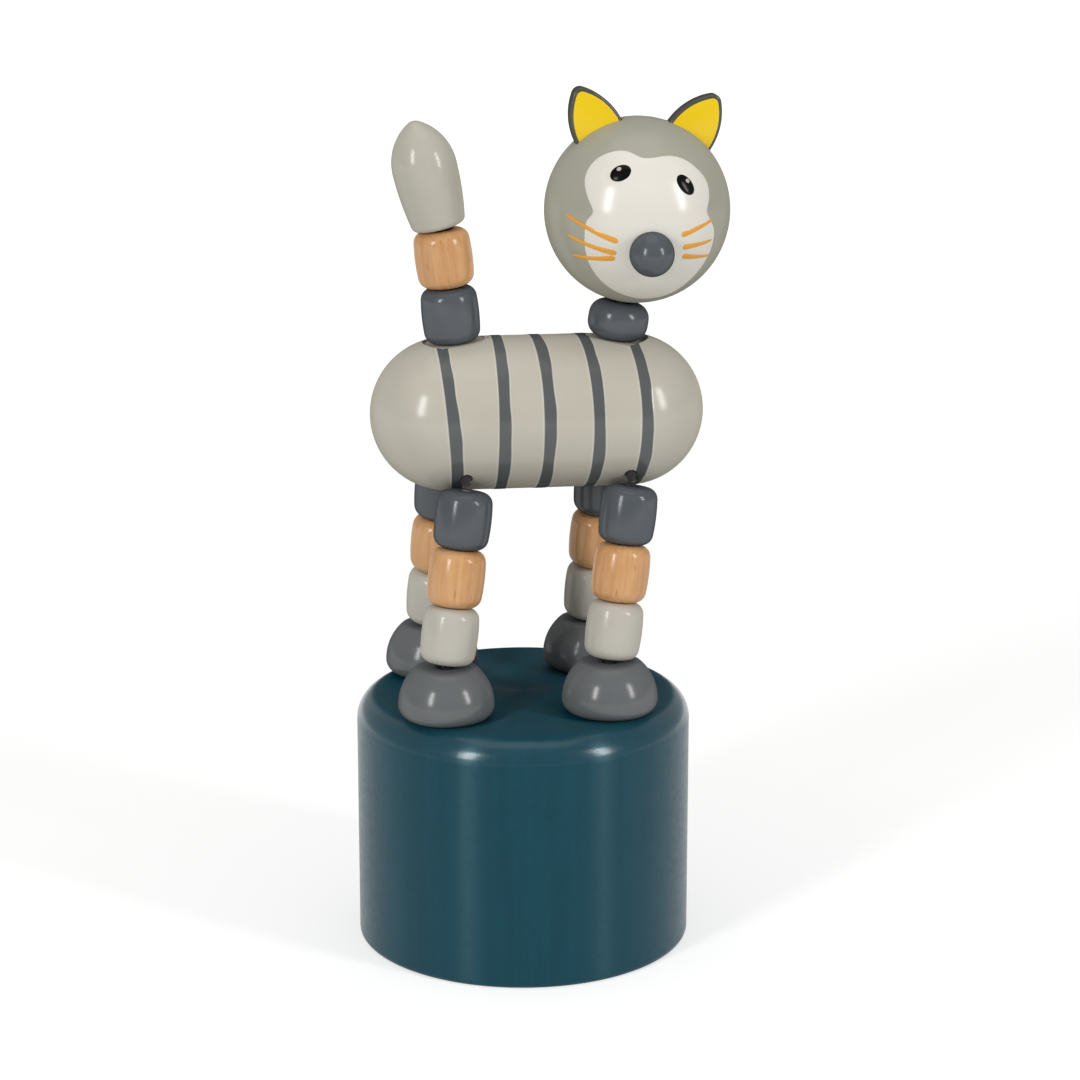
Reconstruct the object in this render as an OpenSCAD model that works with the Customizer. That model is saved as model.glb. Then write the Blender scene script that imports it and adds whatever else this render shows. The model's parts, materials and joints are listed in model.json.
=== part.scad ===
// Push puppet: a cat of wooden beads on four cords, held upright by a sprung button in a drum.
// Millimetres, +Z up, origin at the middle of the drum's underside, the cat heading towards +X.

/* [Drum] */
// Diameter of the drum
base_d = 45; // [43:0.5:60]
// Height of the drum
base_h = 34.2; // [31:0.2:50]
// Rounding of the upper rim
base_rim_r = 3.5; // [1:0.1:4.5]
// Rounding of the lower edge
base_edge_r = 0.8; // [0.3:0.1:1.5]
// Thickness of the side wall
base_wall = 4; // [2.5:0.1:5]
// Thickness of the top
base_top = 6; // [4:0.2:8]
// Bevel at the mouth of the hollow
mouth_bevel = 0.8; // [0.2:0.1:1.5]

/* [Button and spring] */
// Thickness of the button
button_t = 7; // [5:0.2:9]
// Depth of the button inside the drum's mouth
button_recess = 5; // [4.5:0.1:7]
// Running gap round the button
button_gap = 0.5; // [0.3:0.05:1]
// Rounding of the button's edges
button_edge_r = 0.8; // [0.4:0.1:1]
// Depth of the thumb dish in the button
dish_depth = 1; // [0.4:0.1:1.6]
// Diameter of the thumb dish
dish_d = 22; // [14:0.5:24]
// Diameter of the spigot that centres the spring
spigot_d = 14; // [8:0.5:18]
// Height of the spigot
spigot_h = 2; // [1:0.2:4]
// Thickness of the spring's wire
spring_wire = 0.9; // [0.6:0.05:1.2]
// Turns of the spring
spring_turns = 6; // [3:1:7]
// Gap between the spring and its spigot
spring_fit = 0.4; // [0.2:0.05:0.8]

/* [Cords] */
// Diameter of the cords
cord_d = 1.2; // [0.8:0.05:1.4]
// Gap between a cord and its bore
bore_gap = 0.3; // [0.15:0.05:0.4]
// Gap between cords that lie side by side
pair_gap = 0.1; // [0.05:0.05:0.3]
// Diameter of the knots
knot_d = 2.6; // [2.2:0.1:3]
// Gap round a knot in its pocket
knot_gap = 0.3; // [0.2:0.05:0.5]

/* [Legs] */
// Spacing of the front and rear feet
foot_pitch = 21.8; // [18:0.2:24]
// Spacing of the right and left feet
foot_row = 20.4; // [16:0.2:22]
// Shift of the feet ahead of the drum's middle
foot_shift = -0.5; // [-2:0.1:2]
// Largest diameter of a foot
foot_d = 12.7; // [11:0.1:14]
// Diameter of a foot's top
foot_top_d = 7.9; // [6.8:0.1:9]
// Height of a foot
foot_h = 6.8; // [5:0.1:8]
// Rounding under a foot's edge
foot_edge_r = 1.7; // [1:0.1:2.4]
// Diameter of the leg beads
leg_bead_d = 7.5; // [6.5:0.1:9]
// Height of the leg beads
leg_bead_h = 7.6; // [6:0.1:10]
// Rounding of a bead's edges
bead_edge_r = 1.5; // [0.8:0.1:1.8]
// Radius of a bead's bulging side
bead_side_r = 25; // [15:1:60]
// Gap between a bead and the piece that it sits on
bead_gap = 0.1; // [0.05:0.05:0.2]
// Inward lean of the legs, degrees
leg_splay = 6.5; // [0:0.5:8]
// Forward lean of the right legs, degrees
right_lean = 7.6; // [-4:0.2:12]
// Forward lean of the left legs, degrees
left_lean = 4; // [-4:0.2:12]

/* [Body] */
// Diameter of the body
body_d = 20.3; // [18:0.1:24]
// Length of the body
body_len = 44.3; // [40:0.1:56]
// Shift of the body ahead of the drum's middle
body_shift = 1.9; // [-1:0.1:4]
// Gap between the body and the upper leg beads
hip_gap = 0.12; // [0.1:0.02:0.6]
// Gap round the beads that are let into the back
seat_gap = 0.3; // [0.2:0.05:0.6]

/* [Neck and head] */
// Distance of the neck ahead of the body's middle
neck_set = 10.5; // [8:0.1:13]
// Diameter of the neck bead
neck_d = 8; // [7:0.1:10]
// Height of the neck bead
neck_h = 5; // [4.2:0.1:7]
// Depth of the neck bead in the back
neck_sink = 0.55; // [0:0.05:1]
// Rounding of the neck bead's edges
neck_edge_r = 2; // [1:0.1:2.1]
// Radius of the neck bead's bulging side
neck_side_r = 8; // [5:0.5:20]
// Forward lean of the neck and head, degrees
head_lean = 9.3; // [-5:0.1:15]
// Turn of the head from straight ahead, degrees
head_turn = -87; // [-120:1:120]
// Diameter of the head
head_d = 24.4; // [20:0.1:28]
// Length of cord that is glued into the head
head_cord_len = 13; // [6:0.5:16]
// Diameter of the nose
nose_d = 5.8; // [4:0.1:7]
// Distance of the nose's middle outside the head's surface
nose_out = 0.9; // [0:0.1:2]
// Angle of the nose below the head's middle, degrees
nose_drop = 16; // [5:1:30]
// Width of an ear
ear_w = 6.7; // [4:0.1:9]
// Height of an ear above its root
ear_h = 6.4; // [5:0.1:10]
// Rounding of an ear's tip
ear_tip_r = 1.1; // [0.4:0.1:1.5]
// Thickness of an ear
ear_t = 2; // [1.4:0.1:3]
// Depth of an ear's root in the head
ear_root = 2.4; // [1.5:0.1:4]
// Angle of the ears from the top of the head, degrees
ear_spread = 31; // [22:1:45]
// Roll of both ears towards the cat's right, degrees
ear_roll = 5; // [-8:0.5:8]
// Gap in a glued seat
glue_gap = 0.05; // [0.02:0.01:0.15]

/* [Tail] */
// Distance of the tail behind the body's middle
tail_set = 11.1; // [8:0.1:13]
// Depth of the tail's lower bead in the back
tail_sink = 0.45; // [0:0.05:1]
// Backward lean of the tail's lower bead, degrees
tail_lower_lean = 5.5; // [-5:0.1:10]
// Backward lean of the tail's middle bead, degrees
tail_middle_lean = 7; // [-5:0.1:15]
// Backward lean of the tail's tip, degrees
tail_tip_lean = 13.5; // [-5:0.1:20]
// Diameter of the tail's beads
tail_bead_d = 7.6; // [6.5:0.1:9]
// Height of the tail's lower bead
tail_lower_h = 7.3; // [5:0.1:9]
// Height of the tail's middle bead
tail_middle_h = 7.5; // [6:0.1:10]
// Largest diameter of the tail's tip
tip_d = 8.5; // [7.6:0.1:11]
// Height of the tail's tip
tip_h = 14.2; // [13:0.1:18]
// Height at which the tip is widest
tip_waist_h = 7.9; // [6:0.1:9]
// Radius of the tip's bulging side below its widest place
tip_side_r = 40; // [25:1:80]
// Radius of the tip's nose
tip_nose_r = 1.6; // [1:0.1:2.5]
// Rounding of the tip's lower edge
tip_edge_r = 0.8; // [0.4:0.1:1.4]
// Length of cord that is glued into the tip
tip_cord_len = 8; // [4:0.5:10]

/* [Joints] */
// Distance of a rocking line outside the flat that rocks
rock_out = 0.9; // [0.3:0.05:1.2]

/* [Hidden] */
$fn = 64;
// Facets of the wide arcs
wide = 192;
// Each leg is [end, side]: end 1 is the front, side 1 is the left
LEGS = [for (end = [1, -1], side = [-1, 1]) [end, side]];
function leg_name(leg) = str(leg[0] > 0 ? "front" : "rear", "_", leg[1] > 0 ? "left" : "right");

// Overlap of a cutting tool past the face that it opens
cut = 1;
// Step by which a round edge stands proud of a bulging side, so that the two arcs cross cleanly
edge_lap = 0.02;

// Drum, button and spring
cavity_d = base_d - 2 * base_wall;
ceiling_z = base_h - base_top;
button_d = cavity_d - 2 * button_gap;
button_top_z = button_recess + button_t;
bore_d = cord_d + 2 * bore_gap;
pair_step = cord_d + pair_gap;
pair_bore_d = pair_step + bore_d;
pocket_d = knot_d + 2 * knot_gap;
pocket_top_z = button_recess + knot_d + knot_gap;
dish_r = (pow(dish_d / 2, 2) + pow(dish_depth, 2)) / (2 * dish_depth);
spring_r = spigot_d / 2 + spring_fit + spring_wire / 2;
spring_low_z = button_top_z + bead_gap + spring_wire / 2;
spring_high_z = ceiling_z - bead_gap - spring_wire / 2;
spring_rings = 12;
spring_sides = 6;

// Directions and columns of beads
function unit(v) = v / norm(v);
function column(forward, left = 0) = unit([tan(forward), tan(left), 1]);
function ahead(axis) = unit(cross([0, 1, 0], axis));
function flat_r(d, h, edge_r, side_r) =
  edge_lap + d / 2 - side_r + sqrt(pow(side_r - edge_r, 2) - pow(h / 2 - edge_r, 2));
// Way up a column from a face to a bead that leans from it by an angle and whose lowest edge just clears it
function lean_step(lean, bead_flat_r, edge_r) =
  (bead_gap + bead_flat_r * sin(abs(lean)) + edge_r * (1 - cos(lean))) / cos(lean);
// Line on which a flat at p rocks, ahead of it or behind it
function rocking_line(p, axis, reach) = p - axis * bead_gap / 2 + ahead(axis) * reach;

// Legs
leg_flat_r = flat_r(leg_bead_d, leg_bead_h, bead_edge_r, bead_side_r);
foot_flat_r = foot_d / 2 - foot_edge_r;
function hole_at(leg, z) = [foot_shift + leg[0] * foot_pitch / 2, leg[1] * foot_row / 2, z];
function foot_at(leg) = hole_at(leg, base_h + bead_gap);
function foot_top(leg) = hole_at(leg, base_h + bead_gap + foot_h);
function leg_axis(leg) = column(leg[1] > 0 ? left_lean : right_lean, -leg[1] * leg_splay);
function leg_bead_at(leg, place) = let (axis = leg_axis(leg))
  foot_top(leg) + axis * (lean_step(acos(axis.z), leg_flat_r, bead_edge_r) + place * (leg_bead_h + bead_gap));
function hip_at(leg) = leg_bead_at(leg, 2) + leg_axis(leg) * leg_bead_h;

// Body: just high enough to clear the rounded top edges of the upper leg beads
function hip_edge(leg, turn) = let (axis = leg_axis(leg), u = ahead(axis))
  hip_at(leg) - axis * bead_edge_r + leg_flat_r * (cos(turn) * u + sin(turn) * cross(axis, u));
hip_reach = body_d / 2 + hip_gap + bead_edge_r;
body_z = max([
  for (leg = LEGS, turn = [0 : 5 : 355])
    let (p = hip_edge(leg, turn)) p.z + sqrt(pow(hip_reach, 2) - pow(p.y, 2))
]);
back_z = body_z + body_d / 2;

// Neck and head
neck_axis = column(head_lean);
neck_flat_r = flat_r(neck_d, neck_h, neck_edge_r, neck_side_r);
neck_root = [body_shift + neck_set, 0, back_z];
neck_at = neck_root - neck_axis * neck_sink;
neck_seat = neck_at - neck_axis * bead_gap;
head_foot = neck_at + neck_axis * (neck_h + bead_gap);
head_at = head_foot + neck_axis * head_d / 2;
ear_sink = head_d / 2 - sqrt(pow(head_d / 2, 2) - pow(ear_w / 2, 2) - pow(ear_t / 2, 2));
// Bowed side of an ear, from the root to its rounded tip
ear_tip_z = ear_h - ear_tip_r;
ear_arc_r = (pow(ear_tip_z, 2) + pow(ear_w / 2, 2) - pow(ear_tip_r - edge_lap, 2)) / (ear_w - 2 * (ear_tip_r - edge_lap));
ear_side_h = ear_tip_z * ear_arc_r / (ear_arc_r - ear_tip_r);

// Tail
tail_lower_axis = column(-tail_lower_lean);
tail_middle_axis = column(-tail_middle_lean);
tail_tip_axis = column(-tail_tip_lean);
tail_lower_flat_r = flat_r(tail_bead_d, tail_lower_h, bead_edge_r, bead_side_r);
tail_middle_flat_r = flat_r(tail_bead_d, tail_middle_h, bead_edge_r, bead_side_r);
tail_root = [body_shift - tail_set, 0, back_z];
tail_lower_at = tail_root - tail_lower_axis * tail_sink;
tail_seat = tail_lower_at - tail_lower_axis * bead_gap;
tail_lower_top = tail_lower_at + tail_lower_axis * tail_lower_h;
tail_middle_at = tail_lower_top
  + tail_middle_axis * lean_step(tail_middle_lean - tail_lower_lean, tail_middle_flat_r, bead_edge_r);
tail_middle_top = tail_middle_at + tail_middle_axis * tail_middle_h;
// Round brow of the tip, from its widest place to its nose
tip_nose_z = tip_h - tip_nose_r;
tip_brow_r = (pow(tip_d / 2, 2) + pow(tip_nose_z - tip_waist_h, 2) - pow(tip_nose_r - edge_lap, 2))
  / (tip_d - 2 * (tip_nose_r - edge_lap));
tip_flat_r = edge_lap + tip_d / 2 - tip_side_r
  + sqrt(pow(tip_side_r - tip_edge_r, 2) - pow(tip_waist_h - tip_edge_r, 2));
tail_tip_at = tail_middle_top
  + tail_tip_axis * lean_step(tail_tip_lean - tail_middle_lean, tip_flat_r, tip_edge_r);

// Paint and lacquer
TEAL = [0.12, 0.30, 0.36];
DARK = [0.36, 0.38, 0.39];
NATURAL = [0.85, 0.65, 0.45];
PALE = [0.75, 0.73, 0.69];
WARM = [0.72, 0.70, 0.65];
YELLOW = [0.94, 0.78, 0.16];
CORD = [0.86, 0.84, 0.78];
STEEL = [0.70, 0.71, 0.73];

// Puts children at p with their +Z along axis
module stand(p, axis) {
  translate(p)
    rotate([0, acos(axis.z), atan2(axis.y, axis.x)])
      children();
}

// Round rod from p to q
module rod(p, q, d) {
  stand(p, unit(q - p))
    cylinder(d = d, h = norm(q - p));
}

// Half outline of a barrel: flat ends, round edges and a bulging side
module barrel_outline(d, h, edge_r, side_r) {
  r = flat_r(d, h, edge_r, side_r);
  blend_z = h / 2 - (h / 2 - edge_r) * side_r / (side_r - edge_r);
  intersection() {
    square([d, h]);
    union() {
      square([r, h]);
      translate([r, edge_r]) circle(edge_r);
      translate([r, h - edge_r]) circle(edge_r);
      intersection() {
        translate([d / 2 - side_r, h / 2]) circle(side_r, $fn = wide);
        translate([0, blend_z]) square([d, h - 2 * blend_z]);
      }
    }
  }
}

// Turned bead with a bore through it
module bead(d, h, edge_r, side_r, hole_d) {
  difference() {
    rotate_extrude() barrel_outline(d, h, edge_r, side_r);
    translate([0, 0, -cut]) cylinder(d = hole_d, h = h + 2 * cut);
  }
}

module leg_bead(leg, place) {
  stand(leg_bead_at(leg, place), leg_axis(leg))
    bead(leg_bead_d, leg_bead_h, bead_edge_r, bead_side_r, bore_d);
}

// Half outline of a drum with a rounded upper rim and lower edge
module drum_outline(d, h, upper_r, lower_r) {
  intersection() {
    square([d, h]);
    union() {
      translate([0, lower_r]) square([d / 2, h - upper_r - lower_r]);
      square([d / 2 - lower_r, h - upper_r]);
      translate([0, lower_r]) square([d / 2 - upper_r, h - lower_r]);
      translate([d / 2 - lower_r, lower_r]) circle(lower_r);
      translate([d / 2 - upper_r, h - upper_r]) circle(upper_r);
    }
  }
}

module base_drum() {
  color(TEAL) difference() {
    rotate_extrude() drum_outline(base_d, base_h, base_rim_r, base_edge_r);
    translate([0, 0, -cut]) cylinder(d = cavity_d, h = ceiling_z + cut);
    translate([0, 0, -cut])
      cylinder(d1 = cavity_d + 2 * (mouth_bevel + cut), d2 = cavity_d, h = mouth_bevel + cut);
    for (leg = LEGS)
      translate(hole_at(leg, ceiling_z - cut)) cylinder(d = bore_d, h = base_top + 2 * cut);
  }
}

module push_button() {
  color(NATURAL) difference() {
    union() {
      translate([0, 0, button_recess])
        rotate_extrude() drum_outline(button_d, button_t, button_edge_r, button_edge_r);
      translate([0, 0, button_top_z - cut]) cylinder(d = spigot_d, h = spigot_h + cut);
    }
    translate([0, 0, button_recess + dish_depth - dish_r]) sphere(dish_r);
    for (leg = LEGS) {
      translate(hole_at(leg, button_recess - cut)) cylinder(d = bore_d, h = button_t + 2 * cut);
      translate(hole_at(leg, button_recess - cut)) cylinder(d = pocket_d, h = pocket_top_z - button_recess + cut);
    }
  }
}

// Middle line of the spring's wire, counted in rings from the button upwards
spring_count = spring_turns * spring_rings;
function spring_point(ring) = let (angle = 360 * ring / spring_rings)
  [spring_r * cos(angle), spring_r * sin(angle),
   spring_low_z + (spring_high_z - spring_low_z) * ring / spring_count];
function spring_skin(ring, side) = let (
    angle = 360 * ring / spring_rings,
    turn = 360 * side / spring_sides,
    out = [cos(angle), sin(angle), 0]
  )
  spring_point(ring) + spring_wire / 2 * (cos(turn) * out + sin(turn) * [0, 0, 1]);

module spring() {
  last = spring_count * spring_sides;
  color(STEEL) polyhedron(
    points = [for (ring = [0 : spring_count], side = [0 : spring_sides - 1]) spring_skin(ring, side)],
    faces = concat(
      [for (side = [1 : spring_sides - 2]) [0, side, side + 1]],
      [for (side = [1 : spring_sides - 2]) [last, last + side + 1, last + side]],
      [
        for (ring = [0 : spring_count - 1], side = [0 : spring_sides - 1])
          let (
            a = ring * spring_sides + side,
            b = ring * spring_sides + (side + 1) % spring_sides
          )
          each [[a, a + spring_sides, b], [b, a + spring_sides, b + spring_sides]]
      ]
    )
  );
}

module base_cords() {
  color(CORD) for (leg = LEGS)
    rod(hole_at(leg, pocket_top_z), hole_at(leg, base_h), cord_d);
}

module cord_knots() {
  color(CORD) for (leg = LEGS)
    translate(hole_at(leg, pocket_top_z - bead_gap - knot_d / 2)) sphere(d = knot_d);
}

// Bell-shaped foot: a domed side over a rounded under-edge
module foot(leg) {
  side_h = foot_h - foot_edge_r;
  inset = (foot_d - foot_top_d) / 2;
  dome_r = (pow(inset, 2) + pow(side_h, 2)) / (2 * inset);
  color(DARK) translate(foot_at(leg)) difference() {
    rotate_extrude() intersection() {
      square([foot_d, foot_h]);
      union() {
        square([foot_flat_r, foot_edge_r]);
        translate([foot_flat_r, foot_edge_r]) circle(foot_edge_r);
        translate([0, foot_edge_r]) square([foot_top_d / 2, side_h]);
        intersection() {
          translate([foot_d / 2 - dome_r, foot_edge_r]) circle(dome_r, $fn = wide);
          translate([0, foot_edge_r]) square([foot_d, side_h]);
        }
      }
    }
    translate([0, 0, -cut]) cylinder(d = bore_d, h = foot_h + 2 * cut);
  }
}

module leg_lower(leg) {
  color(PALE) leg_bead(leg, 0);
}

module leg_middle(leg) {
  color(NATURAL) leg_bead(leg, 1);
}

module leg_upper(leg) {
  color(DARK) leg_bead(leg, 2);
}

module cord_foot(leg) {
  color(CORD) rod(foot_at(leg), foot_top(leg), cord_d);
}

module cord_bead(leg, place) {
  start = leg_bead_at(leg, place);
  color(CORD) rod(start, start + leg_axis(leg) * leg_bead_h, cord_d);
}

// A leg's cord inside the body runs from above its hip to the floor of the neck's or the tail's seat
function hip_cord_at(leg) = hip_at(leg) + leg_axis(leg) * cord_d / 2;
function back_hole_at(leg) = (leg[0] > 0 ? neck_seat : tail_seat) + [0, leg[1] * pair_step / 2, 0];
function body_way(leg) = unit(back_hole_at(leg) - hip_cord_at(leg));

// Round recess for a bead that is let into the back
module seat(p, axis, bead_d) {
  stand(p, axis) cylinder(d = bead_d + 2 * seat_gap, h = body_d / 4);
}

// Half outline of a rod with ball ends
module capsule_outline(d, len) {
  r = d / 2;
  intersection() {
    square([d, len]);
    union() {
      translate([0, r]) square([r, len - d]);
      translate([0, r]) circle(r);
      translate([0, len - r]) circle(r);
    }
  }
}

module body() {
  color(WARM) difference() {
    translate([body_shift - body_len / 2, 0, body_z])
      rotate([0, 90, 0])
        rotate_extrude() capsule_outline(body_d, body_len);
    for (leg = LEGS)
      rod(hip_cord_at(leg), back_hole_at(leg) + body_way(leg) * cut, bore_d);
    seat(neck_seat, neck_axis, neck_d);
    seat(tail_seat, tail_lower_axis, tail_bead_d);
  }
}

module body_cords() {
  color(CORD) for (leg = LEGS)
    rod(hip_cord_at(leg), back_hole_at(leg) - body_way(leg) * cord_d / 2, cord_d);
}

// Two cords side by side up the middle of a bead
module cord_pair(p, axis, low, high) {
  color(CORD) stand(p, axis) for (side = [-1, 1])
    translate([0, side * pair_step / 2, low]) cylinder(d = cord_d, h = high - low);
}

module neck_bead() {
  color(DARK) stand(neck_at, neck_axis)
    bead(neck_d, neck_h, neck_edge_r, neck_side_r, pair_bore_d);
}

module neck_cords() {
  cord_pair(neck_at, neck_axis, 0, neck_h);
}

// The head's own frame: +Z up the cords, +X out of the face
module in_head() {
  translate(head_at)
    rotate([0, head_lean, 0])
      rotate([0, 0, head_turn])
        children();
}

module in_nose() {
  rotate([0, nose_drop, 0])
    translate([head_d / 2 + nose_out, 0, 0])
      children();
}

module in_ear(side) {
  rotate([ear_roll - side * ear_spread, 0, 0])
    translate([0, 0, head_d / 2 - ear_sink])
      children();
}

// Flat leaf with bowed sides, a straight root and a rounded tip
module ear_outline() {
  translate([-ear_w / 2, -ear_root]) square([ear_w, ear_root]);
  translate([0, ear_tip_z]) circle(ear_tip_r);
  intersection() {
    translate([ear_arc_r - ear_w / 2, 0]) circle(ear_arc_r, $fn = wide);
    translate([ear_w / 2 - ear_arc_r, 0]) circle(ear_arc_r, $fn = wide);
    translate([-ear_w / 2, 0]) square([ear_w, ear_side_h]);
  }
}

module head() {
  slot_depth = ear_root + glue_gap;
  color(WARM) in_head() difference() {
    sphere(d = head_d);
    translate([0, 0, -head_d / 2 - cut]) cylinder(d = pair_bore_d, h = head_cord_len + bore_gap + cut);
    in_nose() sphere(d = nose_d + 2 * glue_gap);
    for (side = [-1, 1])
      in_ear(side)
        translate([-ear_t / 2 - glue_gap, -ear_w / 2 - glue_gap, -slot_depth])
          cube([ear_t + 2 * glue_gap, ear_w + 2 * glue_gap, slot_depth + ear_sink + cut]);
  }
}

module head_cords() {
  cord_pair(head_foot, neck_axis, 0, head_cord_len);
}

module nose() {
  color(DARK) in_head() in_nose() sphere(d = nose_d);
}

module ear(side) {
  color(YELLOW) in_head() in_ear(side)
    rotate([90, 0, 90])
      linear_extrude(ear_t, center = true) ear_outline();
}

module tail_lower() {
  color(DARK) stand(tail_lower_at, tail_lower_axis)
    bead(tail_bead_d, tail_lower_h, bead_edge_r, bead_side_r, pair_bore_d);
}

module tail_middle() {
  color(NATURAL) stand(tail_middle_at, tail_middle_axis)
    bead(tail_bead_d, tail_middle_h, bead_edge_r, bead_side_r, pair_bore_d);
}

// Drop-shaped tip: a rounded foot, a side that swells upwards, a round brow and a small round nose
module tail_tip() {
  brow_top_z = tip_waist_h + (tip_nose_z - tip_waist_h) * tip_brow_r / (tip_brow_r - tip_nose_r);
  side_low_z = tip_waist_h - (tip_waist_h - tip_edge_r) * tip_side_r / (tip_side_r - tip_edge_r);
  color(WARM) stand(tail_tip_at, tail_tip_axis) difference() {
    rotate_extrude() intersection() {
      square([tip_d, tip_h]);
      union() {
        square([tip_flat_r, tip_waist_h]);
        translate([tip_flat_r, tip_edge_r]) circle(tip_edge_r);
        translate([0, tip_nose_z]) circle(tip_nose_r);
        intersection() {
          translate([tip_d / 2 - tip_side_r, tip_waist_h]) circle(tip_side_r, $fn = wide);
          translate([0, side_low_z]) square([tip_d, tip_waist_h - side_low_z]);
        }
        intersection() {
          translate([tip_d / 2 - tip_brow_r, tip_waist_h]) circle(tip_brow_r, $fn = wide);
          translate([0, tip_waist_h]) square([tip_d, brow_top_z - tip_waist_h]);
        }
      }
    }
    translate([0, 0, -cut]) cylinder(d = pair_bore_d, h = tip_cord_len + bore_gap + cut);
  }
}

module tail_cords_lower() {
  cord_pair(tail_lower_at, tail_lower_axis, 0, tail_lower_h);
}

module tail_cords_middle() {
  cord_pair(tail_middle_at, tail_middle_axis, 0, tail_middle_h);
}

module tail_cords_tip() {
  cord_pair(tail_tip_at, tail_tip_axis, 0, tip_cord_len);
}

// Least gap between the spring's turns, measured between points half a turn or more apart
spring_points = [for (ring = [0 : spring_count]) spring_point(ring)];
spring_gap = min([
  for (a = [0 : spring_count], b = [a + spring_rings / 2 : 1 : spring_count])
    norm(spring_points[a] - spring_points[b])
]) - spring_wire;
echo(spring_gap = spring_gap);

// Lines, along Y, on which the pieces rock when the cords are slack, and the head's turning axis
foot_reach = foot_flat_r + rock_out;
leg_reach = leg_flat_r + rock_out;
neck_reach = neck_flat_r + rock_out;
tail_lower_reach = tail_lower_flat_r + rock_out;
tail_middle_reach = tail_middle_flat_r + rock_out;
tip_reach = tip_flat_r + rock_out;
for (leg = LEGS) {
  axis = leg_axis(leg);
  echo(pivot = str("foot_", leg_name(leg)), at = rocking_line(foot_at(leg), [0, 0, 1], foot_reach));
  echo(pivot = str("leg_lower_", leg_name(leg)), at = rocking_line(leg_bead_at(leg, 0), axis, leg_reach));
  echo(pivot = str("leg_middle_", leg_name(leg)), at = rocking_line(leg_bead_at(leg, 1), axis, leg_reach));
  echo(pivot = str("leg_upper_", leg_name(leg)), at = rocking_line(leg_bead_at(leg, 2), axis, leg_reach));
  echo(pivot = str("hip_", leg_name(leg)), at = rocking_line(hip_at(leg) + axis * bead_gap, axis, -leg_reach));
}
echo(pivot = "neck", at = rocking_line(neck_at, neck_axis, neck_reach));
echo(pivot = "head", at = rocking_line(head_foot, neck_axis, neck_reach));
echo(pivot = "tail_lower", at = rocking_line(tail_lower_at, tail_lower_axis, -tail_lower_reach));
echo(pivot = "tail_middle", at = rocking_line(tail_middle_at, tail_middle_axis, -tail_middle_reach));
echo(pivot = "tail_tip", at = rocking_line(tail_tip_at, tail_tip_axis, -tip_reach));
echo(pivot = "head_turn", at = head_at, along = neck_axis);

base_drum();
push_button();
spring();
base_cords();
cord_knots();
for (leg = LEGS) {
  foot(leg);
  leg_lower(leg);
  leg_middle(leg);
  leg_upper(leg);
  cord_foot(leg);
  cord_bead(leg, 0);
  cord_bead(leg, 1);
  cord_bead(leg, 2);
}
body();
body_cords();
neck_bead();
neck_cords();
head();
head_cords();
nose();
ear(1);  // ear_left
ear(-1);  // ear_right
tail_lower();
tail_middle();
tail_tip();
tail_cords_lower();
tail_cords_middle();
tail_cords_tip();
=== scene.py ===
"""Looks of a push puppet: a striped cat of lacquered wooden beads, strung on cords over a teal drum."""

import json
import math

import bmesh
import bpy
import numpy as np
from bpy.props import FloatProperty, FloatVectorProperty, IntProperty, PointerProperty
from mathutils import Matrix, Vector


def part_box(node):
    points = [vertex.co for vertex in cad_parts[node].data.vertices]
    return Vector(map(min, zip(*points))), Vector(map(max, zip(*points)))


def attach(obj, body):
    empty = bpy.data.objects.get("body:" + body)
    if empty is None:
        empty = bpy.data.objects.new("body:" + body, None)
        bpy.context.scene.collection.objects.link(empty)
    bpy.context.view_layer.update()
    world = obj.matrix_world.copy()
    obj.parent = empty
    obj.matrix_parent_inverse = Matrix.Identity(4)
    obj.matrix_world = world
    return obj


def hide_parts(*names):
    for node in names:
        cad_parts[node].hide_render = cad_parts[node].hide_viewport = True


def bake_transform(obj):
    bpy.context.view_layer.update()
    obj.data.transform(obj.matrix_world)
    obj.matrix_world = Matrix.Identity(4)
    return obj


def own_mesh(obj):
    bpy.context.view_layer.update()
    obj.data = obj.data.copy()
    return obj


bl_info = {
    "name": "Push puppet cat",
    "version": (1, 0, 0),
    "blender": (4, 5, 0),
    "location": "View3D > Sidebar > Puppet",
    "description": "Dresses the packed push puppet in turned, lacquered and painted pieces",
    "category": "Object",
}

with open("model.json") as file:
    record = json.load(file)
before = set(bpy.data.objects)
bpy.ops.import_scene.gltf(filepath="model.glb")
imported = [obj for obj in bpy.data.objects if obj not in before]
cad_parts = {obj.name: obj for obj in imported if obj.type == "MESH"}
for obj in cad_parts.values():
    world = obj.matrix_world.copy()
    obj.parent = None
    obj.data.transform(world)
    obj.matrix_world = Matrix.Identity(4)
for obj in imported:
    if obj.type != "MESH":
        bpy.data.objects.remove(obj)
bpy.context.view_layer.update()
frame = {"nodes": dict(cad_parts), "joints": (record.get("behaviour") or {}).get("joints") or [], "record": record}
MM = 0.001
TAU = 2 * math.pi
LEGS = ("front_right", "front_left", "rear_right", "rear_left")
JOINTS = {joint["name"]: joint for joint in frame["joints"]}
BODIES = frame["record"]["behaviour"]["bodies"]
BODY_OF = {name: body for body, members in BODIES.items() for name in members}
SLOT_OF = {row["node"]: row["material_slot"] for row in frame["record"]["subparts"]}


# Sizes and colours

def linear(red, green, blue):
    """Scene-linear colour of a display colour given in 0 to 255."""
    shares = (red / 255, green / 255, blue / 255)
    return tuple(s / 12.92 if s <= 0.04045 else ((s + 0.055) / 1.055) ** 2.4 for s in shares)


def length(name, text, millimetres):
    return FloatProperty(
        name=name, description=text, default=millimetres * MM, min=0.0, unit="LENGTH", precision=5
    )


def turn(name, text, degrees):
    return FloatProperty(name=name, description=text, default=math.radians(degrees), subtype="ANGLE")


def paint(name, text, red, green, blue):
    return FloatVectorProperty(
        name=name, description=text, default=linear(red, green, blue), size=3, min=0.0, max=1.0,
        subtype="COLOR",
    )


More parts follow.
